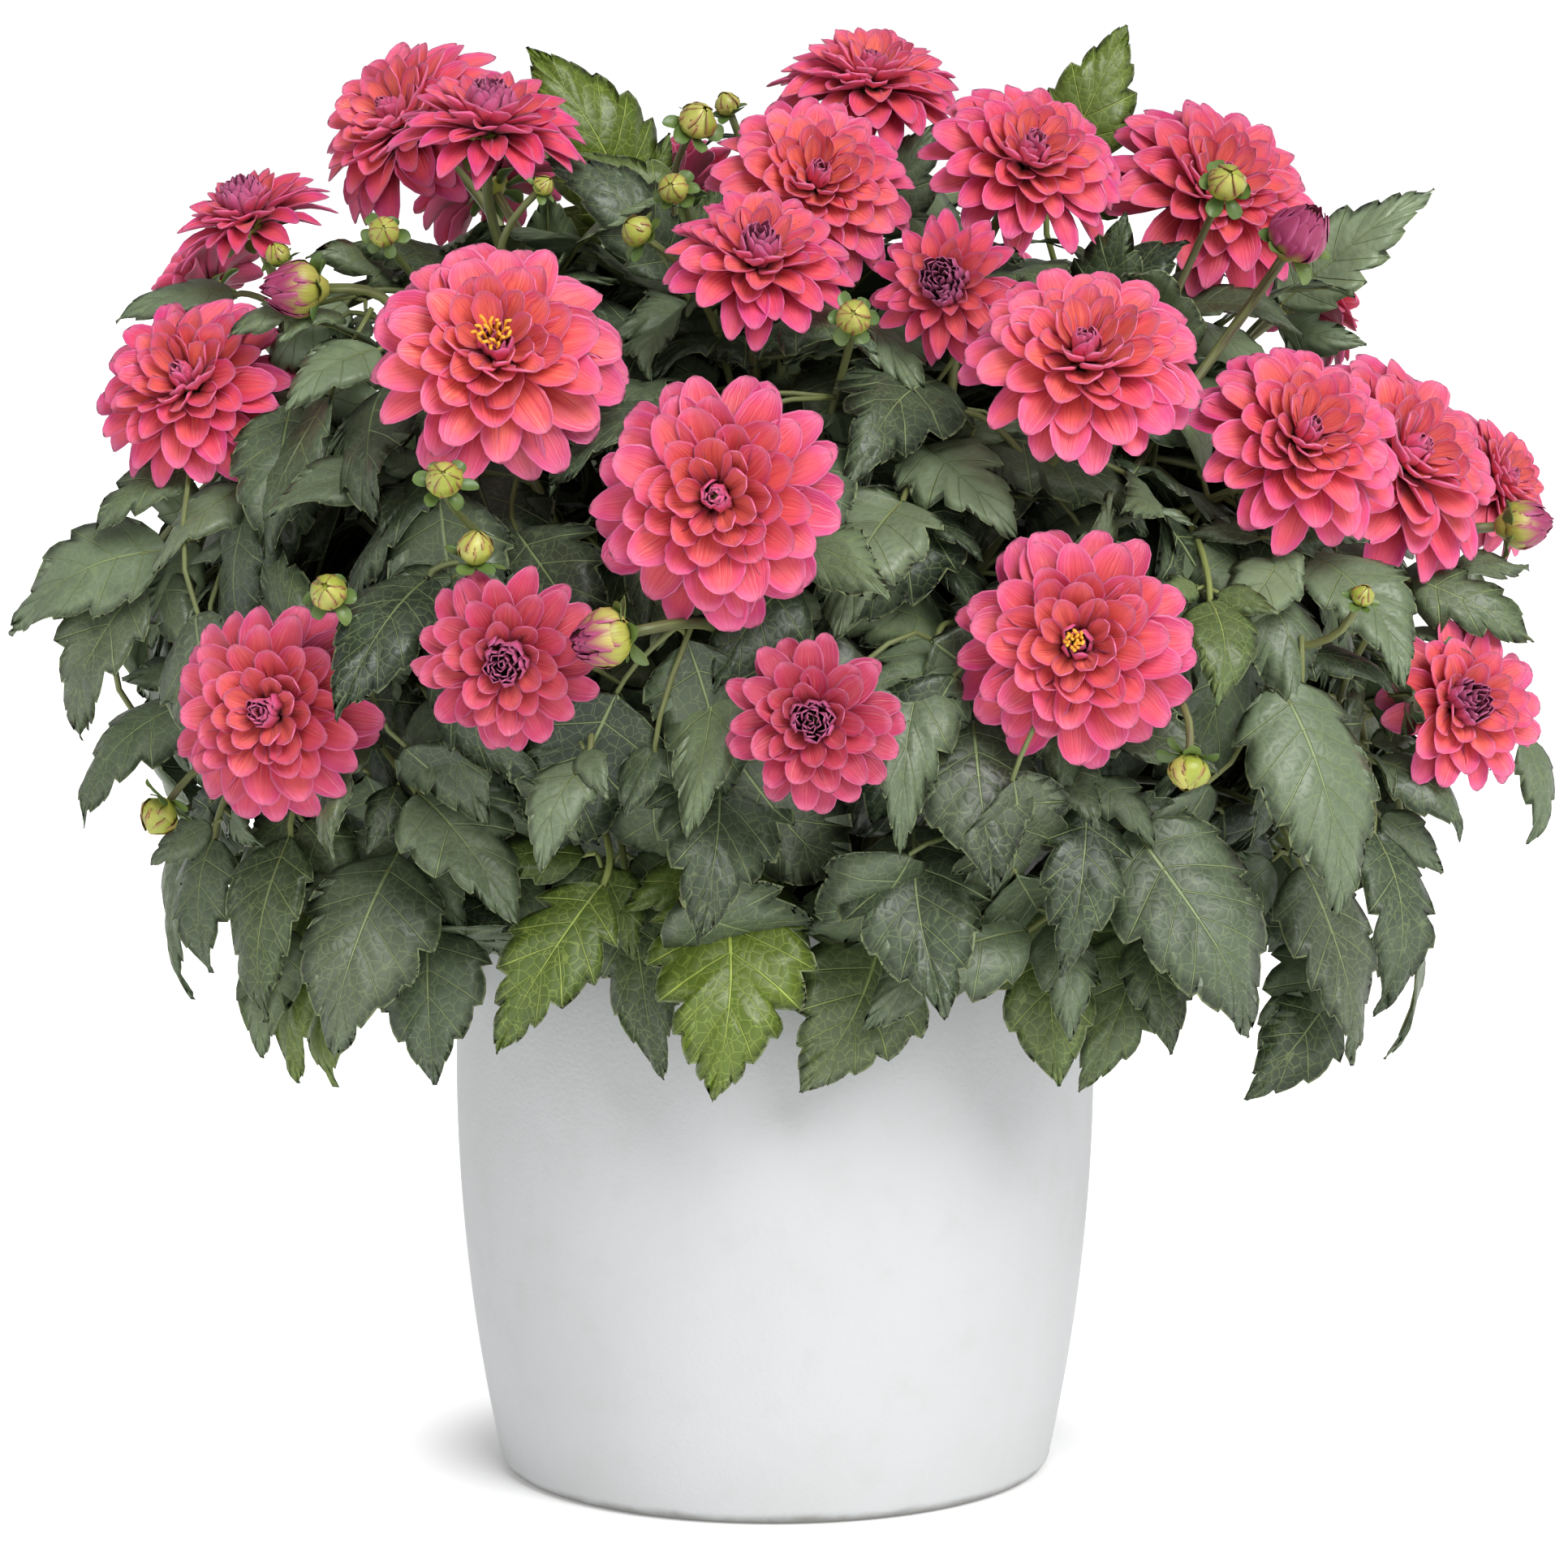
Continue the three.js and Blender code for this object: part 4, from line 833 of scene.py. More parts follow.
def petal_width(s, pointed):
    """The half width at each share of the length, from 0 to 1."""
    narrow = 0.34 + 0.66 * np.sin(np.clip(s / PETAL_WIDEST, 0, 1) * math.pi / 2) ** 1.3
    past = np.clip((s - PETAL_WIDEST) / (1 - PETAL_WIDEST), 0, 1)
    rounded = (1 - past**2.7) ** 0.56
    sharp = (1 - past**1.5) ** 0.95
    return narrow * np.maximum(mix(rounded, sharp, pointed), 0.05)


def petals(
    form, place, base, tip, belly, turn, width, cup, roll, wave, pointed, spoon, detail, material, mark
):
    """Adds a set of petals in units of the bloom's radius. A number may be one for all or one for each.

    base and tip are the (radius, height) of a petal's ends, belly how far its midline bulges up, turn its
    azimuth, cup the half angles of its section at base and tip, roll its turn about the midline, wave where
    its ruffles stand and spoon the lift of its tip.
    """
    rows, columns = detail
    s = np.array(rows)[None, :, None]
    v = np.array(columns)[None, None, :]
    numbers = (*base, *tip, belly, turn, width, *cup, roll, wave, pointed, spoon)
    r0, z0, r1, z1, belly, turn, width, cup0, cup1, roll, wave, pointed, spoon = (
        np.asarray(x, float).reshape(-1, 1, 1) for x in numbers
    )
    middle_r = (r0 + r1) / 2 - (z1 - z0) * belly
    middle_z = (z0 + z1) / 2 + (r1 - r0) * belly
    r = r0 * (1 - s) ** 2 + middle_r * 2 * s * (1 - s) + r1 * s * s
    z = z0 * (1 - s) ** 2 + middle_z * 2 * s * (1 - s) + z1 * s * s
    dr = 2 * (1 - s) * (middle_r - r0) + 2 * s * (r1 - middle_r)
    dz = 2 * (1 - s) * (middle_z - z0) + 2 * s * (z1 - middle_z)
    norm = np.hypot(dr, dz)
    up_r, up_z = -dz / norm, dr / norm
    half = width * petal_width(s, pointed)
    angle = mix(cup1, cup0, (1 - s) ** 1.2)
    across = half * np.sin(v * angle) / angle
    rise = half * (1 - np.cos(v * angle)) / angle + spoon * s**4
    ruffle = np.sin(2 * math.pi * (1.1 * s + 3 * wave) + v * 1.3) * PETAL_RUFFLE * np.abs(v) ** 2.5 * s
    pleat = np.cos(v * 3 * math.pi) * PETAL_PLEAT * (1 - v * v) * np.sin(math.pi * s)
    rise = rise + half * (ruffle + pleat)
    side = across * np.cos(roll) - rise * np.sin(roll)
    lift = across * np.sin(roll) + rise * np.cos(roll)
    side = side + PETAL_LEAN * (r1 - r0) * np.sin(wave * 40) * s * s

    def placed(depth):
        radial = r + up_r * (lift - depth)
        x = radial * np.cos(turn) - side * np.sin(turn)
        y = radial * np.sin(turn) + side * np.cos(turn)
        return place(np.stack([x, y, z + up_z * (lift - depth)], -1))

    upper = placed(0)
    mark = np.stack(np.broadcast_arrays(*mark), -1).reshape(-1, 1, 1, 4)
    marks = np.broadcast_to(mark, upper.shape[:3] + (4,)).copy()
    below = marks.copy()
    below[..., 3] = 1
    spots = np.stack(np.broadcast_arrays(v, s), -1)
    spots = np.broadcast_to(spots, upper.shape[:3] + (2,))
    sheets(form, upper, placed(PETAL_THICKNESS), material, marks, below, spots)


def curve(*values):
    """A curve through (place, value) pairs, for shares from 0 to 1."""
    places, heights = zip(*values)
    return lambda x: np.interp(x, places, heights)


def jitter(rng, count):
    """A function that draws a number for each of count petals, at most a spread away from 0."""
    return lambda spread: (rng.random(count) - 0.5) * 2 * spread


def evenly(count):
    return np.arange(count) * 2 * math.pi / count


# How a ray petal's numbers run from the outside of a bloom, at 0, to its heart, at 1
RAY_TIP_R = curve((0, 0.98), (0.25, 0.97), (0.4, 0.88), (0.58, 0.74), (0.75, 0.58), (0.88, 0.44), (1, 0.3))
RAY_TIP_Z = curve((0, -0.4), (0.2, -0.22), (0.4, -0.02), (0.58, 0.16), (0.75, 0.29), (0.88, 0.36), (1, 0.4))
RAY_BASE_R = curve((0, 0.16), (1, 0.07))
RAY_BASE_Z = curve((0, -0.2), (0.5, -0.08), (1, 0.06))
RAY_BELLY = curve((0, 0.4), (0.3, 0.32), (0.55, 0.16), (0.78, 0.0), (1, -0.16))
RAY_WIDTH = curve((0, 0.19), (0.4, 0.205), (0.7, 0.2), (0.88, 0.17), (1, 0.13))
RAY_CUP_BASE = curve((0, 0.9), (0.6, 1.1), (1, 1.5))
RAY_CUP_TIP = curve((0, 0.5), (0.5, 0.66), (0.8, 0.82), (1, 1.1))
RAY_SPOON = curve((0, 0.05), (0.4, 0.09), (0.8, 0.07), (1, 0.03))


def rays(form, place, a, turn, rng, narrow, open_share, mark, detail):
    """The open petals, from a = 0 at the outside of the bloom to 1 at its heart."""
    count = len(a)
    near = jitter(rng, count)
    reach = RAY_TIP_R(a) * (1 + near(0.04))
    lift = ((1 - open_share) * 0.25 - NARROW_DROOP * narrow) * (1 - a)
    petals(
        form,
        place,
        base=(RAY_BASE_R(a), RAY_BASE_Z(a)),
        tip=(reach, RAY_TIP_Z(a) + lift + near(0.05)),
        belly=RAY_BELLY(a) + near(0.06),
        turn=turn + near(0.13),
        width=RAY_WIDTH(a) * mix(1, NARROW_WIDTH, narrow) * (1 + near(0.12)),
        cup=(RAY_CUP_BASE(a), RAY_CUP_TIP(a) * mix(1, NARROW_CUP, narrow)),
        roll=near(0.28),
        wave=rng.random(count),
        pointed=mix(*POINTED, narrow) + near(0.18),
        spoon=RAY_SPOON(a),
        detail=detail,
        material=petal,
        mark=mark,
    )


def heart(form, place, rng, count, radius, height, dark):
    """The dome of rolled petals in the middle, which is high and dark in a bloom that has yet to open."""
    count = round(count)
    near = jitter(rng, count)
    share = (np.arange(count) + 0.5) / count
    reach = radius * (1 - share) ** 0.5
    top = height * mix(0.78, 1, share**0.7) + near(0.02)
    tone = rng.random(count) * 0.4
    petals(
        form,
        place,
        base=(reach * 0.6 + 0.01, 0),
        tip=(reach * 0.78, top),
        belly=mix(-0.3, -0.04, share) + near(0.06),
        turn=np.arange(count) * GOLDEN_ANGLE + near(0.2),
        width=mix(0.155, 0.09, share) * (1 + near(0.12)),
        cup=(1.4, 1.6),
        roll=near(0.5),
        wave=rng.random(count),
        pointed=0.35,
        spoon=near(0.02),
        detail=SMALL_PETAL,
        material=petal,
        mark=(dark, 0, tone, 0),
    )


def bloom(name, at, radius, faces, open_share):
    """One flower: its rays from the outside in, its heart and its cup. On the far side they are plainer."""
    number = int(name[-2:])
    rng = np.random.default_rng(number * 17 + 3)
    size = radius * BLOOM_SPREAD * SIZED.get(number, 1)
    place = Facing(at, looking(TURNED.get(number, faces)), size)
    form = Form(petal, green, florets)
    narrow = NARROW.get(number, 0)
    count = round(mix(*RAYS, open_share) * mix(1, NARROW_RAYS, narrow))
    index = np.arange(count)
    a = (index + 0.5) / count * mix(0.82, 1, open_share)
    # Above 0 the faded outer petals, below 0 the painted shade that darkens some blooms
    fade_and_shade = FADED.get(number, 0.05) * np.clip(1 - a * 2.6, 0, 1) - BLOOM_SHADE.get(number, 0) * mix(1, 0.6, a)
    warmth = 0.08 - 0.3 * narrow + 0.95 * a + jitter(rng, count)(0.22)
    warmth = np.clip(warmth + (rng.random() - 0.5) * 0.2, 0, 1)
    plum = np.clip((a - 0.72) * 2.2, 0, 1) * mix(0.7, 0.1, open_share)
    outer = SMALL_PETAL if looking(faces).y > 0.2 else PETAL
    for chosen, detail in ((a < 0.62, outer), (a >= 0.62, SMALL_PETAL)):
        turn = (index * GOLDEN_ANGLE)[chosen]
        mark = (plum[chosen], fade_and_shade[chosen], warmth[chosen], 0)
        rays(form, place, a[chosen], turn, rng, narrow, open_share, mark, detail)
    if number in STAMENS:
        heart(form, place, rng, *FLORET_HEART)
        stamens(form, place, rng, STAMENS[number])
    else:
        sizes = (mix(*ends, open_share) for ends in (HEART_PETALS, HEART_RADIUS, HEART_HEIGHT))
        heart(form, place, rng, *sizes, mix(*HEART_PLUM, open_share**2))
    calyx(form, place, rng)
    return form.build(name + "_petals")


def calyx(form, place, rng):
    """The green cup behind the petals, with its reflexed bracts."""
    lathe(form, CUP_PROFILE, CORE_SIDES, green, (0.6, 0, 0.5, 0), place)
    count = CUP_BRACTS
    near = jitter(rng, count)
    petals(
        form,
        place,
        base=(0.12, -0.25),
        tip=(0.48 + near(0.06), -0.32 + near(0.06)),
        belly=0.2,
        turn=evenly(count) + near(0.2),
        width=0.11,
        cup=(0.7, 0.5),
        roll=0,
        wave=rng.random(count),
        pointed=0.3,
        spoon=0,
        detail=SMALL_PETAL,
        material=green,
        mark=(1, 0, 0.6, 0),
    )


def stamens(form, place, rng, spread):
    """The yellow florets of an open heart, curled each its own way."""
    for n in range(STAMEN_COUNT):
        turn = n * GOLDEN_ANGLE
        lean = math.sqrt((n + 0.5) / STAMEN_COUNT)
        out = np.array([math.cos(turn), math.sin(turn), 0])
        foot = out * 0.05 * lean + [0, 0, 0.16]
        top = out * (0.02 + 0.12 * lean) * spread + [0, 0, 0.36 + 0.05 * rng.random()]
        bend = (foot + top) / 2 + (rng.random(3) - 0.5) * 0.05
        curl = (rng.random(3) - 0.5) * spread * [0.09, 0.09, 0.02]
        path = place(np.array([foot, bend, top, top + curl * 0.6, top + curl + [0, 0, 0.01]]))
        tube(form, path, np.array(STAMEN_RADII), 6, florets, (rng.random(), 0, 0, 0))


# The rings of petals that wrap a bud: how many, and the radius, the tip's height and the tip's radius of each
OPENING_RINGS = ((9, 1.22, 1.7, 0.72), (9, 1.12, 2.0, 0.55), (8, 0.85, 2.2, 0.32), (6, 0.5, 2.3, 0.16))
GREEN_RINGS = ((6, 1.0, 1.72, 0.3), (6, 0.94, 1.93, 0.14))
OPENING_BELLY = -0.52
GREEN_BELLY = -0.88


def bud_scales(form, place, rings, belly, rng, material, blush):
    """Adds the rings of petals that wrap a bud, each ring turned half a petal on from the one outside it."""
    for ring, (count, reach, top, closing) in enumerate(rings):
        near, tone = jitter(rng, count), rng.random(count)
        petals(
            form,
            place,
            base=(0.3 * reach, 0.12),
            tip=(closing + near(0.07), top + near(0.1)),
            belly=belly * reach,
            turn=(np.arange(count) + 0.5 * ring) * 2 * math.pi / count + near(0.1),
            width=3.7 / count * reach,
            cup=(0.55, 0.6),
            roll=near(0.09),
            wave=rng.random(count),
            pointed=0.55,
            spoon=near(0.05),
            detail=PETAL if material is bud_petal else SMALL_PETAL,
            material=material,
            mark=(ring / 3, blush, tone, 0),
        )


def bracts(form, place, rng, count, reach, width):
    """The fleshy green bracts that stand off a bud's foot."""
    near = jitter(rng, count)
    petals(
        form,
        place,
        base=(0.24, 0.12),
        tip=(reach * (1 + near(0.14)), 0.25 + near(0.45)),
        belly=0.14 + near(0.2),
        turn=evenly(count) + near(0.22),
        width=width * (1 + near(0.15)),
        cup=(0.9, 0.55),
        roll=near(0.3),
        wave=rng.random(count),
        pointed=0.12,
        spoon=near(0.15),
        detail=PETAL,
        material=green,
        mark=(1, 0, rng.random(count), 0),
    )


def opening_bud(name, at, radius, faces):
    number = int(name[-1])
    rng = np.random.default_rng(number + 70)
    place = Facing(at, looking(faces), radius)
    form = Form(bud_petal, green)
    ripe = RIPE.get(number, USUAL_RIPE)
    lathe(form, OPENING_PROFILE, CORE_SIDES, bud_petal, (0.5, ripe, 0.5, 0), place)
    bud_scales(form, place, OPENING_RINGS, OPENING_BELLY, rng, bud_petal, ripe)
    bracts(form, place, rng, *OPENING_BRACTS)
    return form.build(name + "_petals")


# Leaves
def blade(form, pose, kind, depth, draw, young, shade):
    """Adds one leaf blade whose rows follow its side veins, each of which ends in a tooth.

    phase counts the teeth from base to tip, t runs from rim to rim and u from base to tip. Returns the points
    under the midrib and their places along it.
    """
    columns, tooth_rows, tooth_length, (fewest, most) = kind
    teeth = max(fewest, min(most, round(pose.length / tooth_length)))
    tooth, fill = (np.array(x) for x in zip(*tooth_rows))
    phase = np.append((np.arange(teeth)[:, None] + tooth).ravel(), teeth)
    fill = np.append(np.tile(fill, teeth), 1)
    share = phase / teeth
    swing = [next(draw) * 2 * math.pi for _ in range(4)]
    u0 = share**1.1
    u1 = u0 + VEIN_SWEEP * np.sin(math.pi * share)
    uneven = 1 + TOOTH_UNEVEN * np.sin(np.floor(phase - 0.05) * 2.4 + swing[0])
    lobe = LOBE["depth"] * next(draw) ** 2
    lobe = lobe * np.exp(-(((share - mix(*LOBE["place"], next(draw))) / LOBE["width"]) ** 2))
    is_tip = np.append(np.tile(tooth == 0, teeth), False)
    u1 = np.clip(u1 + is_tip * (phase > 0) * TOOTH_HOOK / teeth, 0, 1)
    outline = np.sin(math.pi * u1 ** mix(*BLADE_POWER, next(draw))).clip(0) ** 0.9
    half = pose.width / 2 * outline * (1.05 - depth * (uneven + lobe) * (1 - fill))
    half = np.maximum(half, BLADE_NARROWEST)
    t = np.array([-c for c in columns[:0:-1]] + list(columns))[None]
    u = u0[:, None] + (u1 - u0)[:, None] * np.abs(t) ** 1.12
    y = half[:, None] * t * np.where(t < 0, mix(*BLADE_LOPSIDED, next(draw)), 1.0)
    pillow = np.sin(math.pi * (phase % 1)[:, None]) * 4 * np.abs(t) * (1 - np.abs(t))
    ripple = np.sin(phase[:, None] * 2.1 + swing[1] + (t > 0) * 1.7) * t * t
    roll = np.sin(u * 5.5 + swing[2]) * np.cos(t * 2.2 + swing[3])
    relief = sum(share * part for share, part in zip(BLADE_RELIEF, (pillow, ripple, roll)))
    droop = mix(*BLADE_DROOP, next(draw))
    fold = mix(*BLADE_FOLD, next(draw) ** 2)
    curl = mix(*BLADE_CURL, next(draw)) * pose.length * (((u - 0.6) / 0.4).clip(0) ** 2)
    z = pose.width * relief - curl + fold * np.abs(y) * 0.4 - droop * y * y / (pose.width / 2)
    twist = mix(*BLADE_TWIST, next(draw)) * u
    bend = mix(*BLADE_BEND, next(draw)) * pose.length * np.sin(math.pi * u)
    upper, lower = (
        pose.at(u, y * np.cos(twist) + bend, z + y * np.sin(twist) - down) for down in (0, BLADE_THICKNESS)
    )
    # Painted shade: low leaves, and those given a shade below 1, get a darker tone
    height = np.interp(pose.tip.z, LOW_SHADE["heights"], (LOW_SHADE["share"], 1))
    tone = next(draw) * shade * height
    mark = np.broadcast_to((0.0, tone, young, next(draw)), upper.shape[:2] + (4,)).copy()
    under = mark.copy()
    under[..., 0] = 1
    spots = np.stack(np.broadcast_arrays(phase[:, None], np.abs(t)), -1)
    sheets(form, upper[None], lower[None], foliage, mark[None], under[None], spots[None])
    centre = len(columns) - 1
    return upper[:, centre] - np.array(pose.normal) * BLADE_THICKNESS, u[:, centre]


def petiole(form, root, pose, midrib, kind, young, tone):
    """Adds a petiole from its root, which runs on as the rib under the blade."""
    radius, steps = PETIOLES[kind]
    span = (pose.base - root).length
    start = quadratic(root, pose.base - pose.axis * span * 0.35, pose.base, steps)[:-1]
    points, shares = midrib
    chosen = np.linspace(0, len(points) * 0.86, steps).astype(int)
    sunk = radius * 0.5 * (1 - shares[chosen])
    ribs = points[chosen] - np.array(pose.normal) * sunk[:, None]
    path = np.concatenate([np.array(start), ribs])
    thick = np.linspace(radius * 1.15, radius, len(start))
    radii = np.concatenate([thick, radius * (1 - 0.8 * shares[chosen])])
    tube(form, path, radii, 6, stalk, (young, PETIOLE_BROWN, tone, 0))


def leaf(form, pose, root, draw, blade_kind, young=0.0, shade=1.0):
    """A blade, its petiole and, on a long petiole of a large leaf, a pair of side leaflets."""
    depth = mix(*TOOTH_DEPTH, next(draw))
    midrib = blade(form, pose, blade_kind, depth, draw, young, shade)
    large = blade_kind is MAIN_BLADE
    petiole(form, root, pose, midrib, "large" if large else "small", young, next(draw))
    span = (pose.base - root).length
    if span < LEAFLET["shortest petiole"] or not large:
        return
    for sign in (-1, 1):
        back = mix(*LEAFLET["back"], next(draw)) * pose.length
        foot = pose.base - (pose.base - root).normalized() * min(back, span * LEAFLET["down"])
        turn = Quaternion(pose.normal, sign * mix(*LEAFLET["turn"], next(draw)))
        tilt = Quaternion(pose.axis, sign * mix(*LEAFLET["tilt"], next(draw)))
        axis = tilt @ (turn @ pose.axis)
        length = pose.length * LEAFLET["share"] * mix(*LEAFLET["size"], next(draw))
        start, width = foot + axis * LEAFLET["stalk"], length * LEAFLET["width"]
        leaflet = Pose(start, axis, tilt @ pose.normal, length, width, LEAFLET["arch"], sign > 0)
        rib = blade(form, leaflet, SIDE_BLADE, depth, draw, young * LEAFLET["young"], shade)
        petiole(form, foot, leaflet, rib, "leaflet", young, next(draw))


def stays_clear(pose, middle, faces, room, reach=0):
    """Whether a leaf stays out of the round space before a face, and out of reach of the face's middle."""
    direction = looking(faces)
    for spot in (pose.base, pose.base.lerp(pose.tip, 0.5), pose.tip):
        away = spot - middle
        ahead = away.dot(direction)
        if away.length < reach or (ahead > 0 and (away - direction * ahead).length < room):
            return False
    return True


def clear_of_blooms(pose):
    """Whether a leaf stays out of every bloom and of the space before its face."""
    spaces = ((Vector(at), faces, radius, radius * BLOOM_ROOM) for _, _, at, radius, faces, _ in BLOOMS)
    return all(stays_clear(pose, *space) for space in spaces)


def clear_of_seen(pose):
    """Whether a leaf stays out of the space before the bright leaves that hang in full view."""
    for i, room in SEEN_LEAVES.items():
        base, tip, faces, _ = PLACED_LEAVES[i]
        if not stays_clear(pose, Vector(base).lerp(Vector(tip), 0.5), faces, math.dist(base, tip) * room):
            return False
    return True


def nearest_root(roots, pose, below):
    """The place on a stem, and the stem's number, that is nearest to a point below a leaf's base."""
    return min(roots, key=lambda root: (root[0] - pose.base + pose.axis * below).length)


def inner_poses(roots):
    """Leaves inside the canopy by a seeded rule, clear of blooms: (pose, root, stem number, kind, shade)."""
    i = 0
    for count, depths, kind, shade in INNER_LAYERS:
        for n in range(count):
            i += 1
            draw = seeded(900 + i * 37)
            share = (n + 0.5) / count
            yaw = (next(draw) - 0.5) * INNER_YAW
            lift = mix(*INNER_LIFT, share) + (next(draw) - 0.5) * INNER_LIFT_SPREAD
            length = mix(*INNER_LENGTH, next(draw))
            sunk = mix(*depths, next(draw))
            lie = (i * GOLDEN_ANGLE, yaw, lift, length, sunk, (next(draw) - 0.5) * INNER_ROLL)
            pose = canopy_pose(share, *lie, INNER_ARCH, INNER_WIDTH, i % 2 == 1)
            root, number = nearest_root(roots, pose, INNER_BELOW)
            low = min(pose.base.z, pose.tip.z) < LOWEST_LEAF
            far = (root - pose.base).length >= LONGEST_PETIOLE
            if not low and not far and clear_of_blooms(pose) and clear_of_seen(pose):
                yield pose, root, number, kind, shade


def sprig_poses(roots):
    """The small leaves that are listed: (pose, root, stem number)."""
    for i, (base, tip, faces, width) in enumerate(SPRIG_LEAVES):
        base, axis = Vector(base), Vector(tip) - Vector(base)
        pose = Pose(base, axis, looking(faces), axis.length, width * axis.length, LEAF_ARCH, i % 2 == 1)
        yield pose, *nearest_root(roots, pose, SPRIG_BELOW)


def stalk_poses():
    """Pairs of leaves on the flower stalks, clear of the blooms: (pose, root, stem number)."""
    for n, (number, kind, path, radius) in enumerate(all_paths(FINE)):
        if kind != "stalk" or radius != STALK_RADIUS:
            continue
        for pair, share in enumerate(STALK_PAIRS):
            step = round(share * (len(path) - 2))
            root, along = path[step], (path[step + 1] - path[step]).normalized()
            draw = seeded(4000 + n * 53 + pair * 11)
            across = Quaternion(along, next(draw) * 3 + pair * 1.6) @ along.orthogonal().normalized()
            upward = along + Vector((0, 0, STALK_LEAF_UP))
            for sign in (-1, 1):
                axis = across * sign + along * mix(*STALK_LEAF_RISE, next(draw))
                axis.normalize()
                length = mix(*STALK_LEAF, next(draw))
                base = root + axis * mix(*STALK_LEAF_FOOT, next(draw))
                pose = Pose(base, axis, upward, length, length * STALK_LEAF_WIDTH, LEAF_ARCH, sign > 0)
                if clear_of_blooms(pose):
                    yield pose, root, number


# Materials
class Look:
    """A material whose nodes are made one call at a time, and its colour so far."""

    def __init__(self, name, **values):
        self.material = bpy.data.materials.new(name)
        self.material.use_nodes = True
        self.tree = self.material.node_tree
        self.shader = self.tree.nodes["Principled BSDF"]
        for socket, value in values.items():
            label = socket.replace("_", " ").title().replace("Ior", "IOR")
            self.shader.inputs[label].default_value = value

    def put(self, value, socket):
        """Links a socket to another, or sets its value."""
        if isinstance(value, bpy.types.NodeSocket):
            self.tree.links.new(value, socket)
        else:
            socket.default_value = value

    def node(self, kind, inputs=(), **settings):
        made = self.tree.nodes.new(kind)
        for key, value in settings.items():
            setattr(made, key, value)
        for key, value in dict(inputs).items():
            self.put(value, made.inputs[key])
        return made

    def math(self, operation, *values):
        return self.node("ShaderNodeMath", enumerate(values), operation=operation).outputs[0]

    def times(self, a, b):
        return self.math("MULTIPLY", a, b)

    def plus(self, a, b):
        return self.math("ADD", a, b)

    def ramp(self, value, low, high, start=0.0, end=1.0):
        """A smooth step of value from low to high."""
        inputs = {0: value, 1: low, 2: high, 3: start, 4: end}
        return self.node("ShaderNodeMapRange", inputs, interpolation_type="SMOOTHSTEP").outputs[0]

    def mix(self, share, a, b, blend="MIX"):
        made = self.node("ShaderNodeMix", data_type="RGBA", blend_type=blend)
        self.put(share, made.inputs[0])
        for colour, socket in ((a, made.inputs[6]), (b, made.inputs[7])):
            self.put(colour if isinstance(colour, bpy.types.NodeSocket) else (*colour, 1), socket)
        return made.outputs[2]

    def coat(self, share, colour, blend="MIX"):
        """Lays a colour over the one so far, as strongly as share says."""
        self.colour = self.mix(share, self.colour, colour, blend)

    def tint(self, value, low, high, most, colour):
        """Lays a colour over the one so far as value goes from low to high, at most as strongly as most."""
        self.coat(self.ramp(value, low, high, 0.0, most), colour)

    def mark(self):
        """The four marks of a point."""
        made = self.node("ShaderNodeAttribute", attribute_name="mark")
        parts = self.node("ShaderNodeSeparateColor", {0: made.outputs["Color"]})
        return *parts.outputs, made.outputs["Alpha"]

    def spot(self):
        """The two parts of a point's place on its sheet."""
        made = self.node("ShaderNodeUVMap", uv_map="spot")
        return self.node("ShaderNodeSeparateXYZ", {0: made.outputs[0]}).outputs[:2]

    def where(self):
        """A point's place on its object."""
        return self.node("ShaderNodeTexCoord").outputs["Object"]

    def noise(self, scale, detail=3.0, vector=None):
        inputs = {"Vector": vector or self.where(), "Scale": scale, "Detail": detail, "Roughness": 0.55}
        return self.node("ShaderNodeTexNoise", inputs).outputs[0]

    def strands(self, x, y, z, detail=2.0):
        """A noise that is drawn out along its sheet, from three stretched places."""
        inputs = (self.times(*part) if isinstance(part, tuple) else part for part in (x, y, z))
        vector = self.node("ShaderNodeCombineXYZ", enumerate(inputs)).outputs[0]
        return self.noise(1.0, detail, vector)

    def finish(self, height=None, depth=0.0003, roughness=None):
        self.put(self.colour, self.shader.inputs["Base Color"])
        if roughness is not None:
            self.put(roughness, self.shader.inputs["Roughness"])
        if height is not None:
            bump = self.node("ShaderNodeBump", {"Height": height, "Distance": depth, "Strength": 1.0})
            self.put(bump.outputs[0], self.shader.inputs["Normal"])
        return self.material


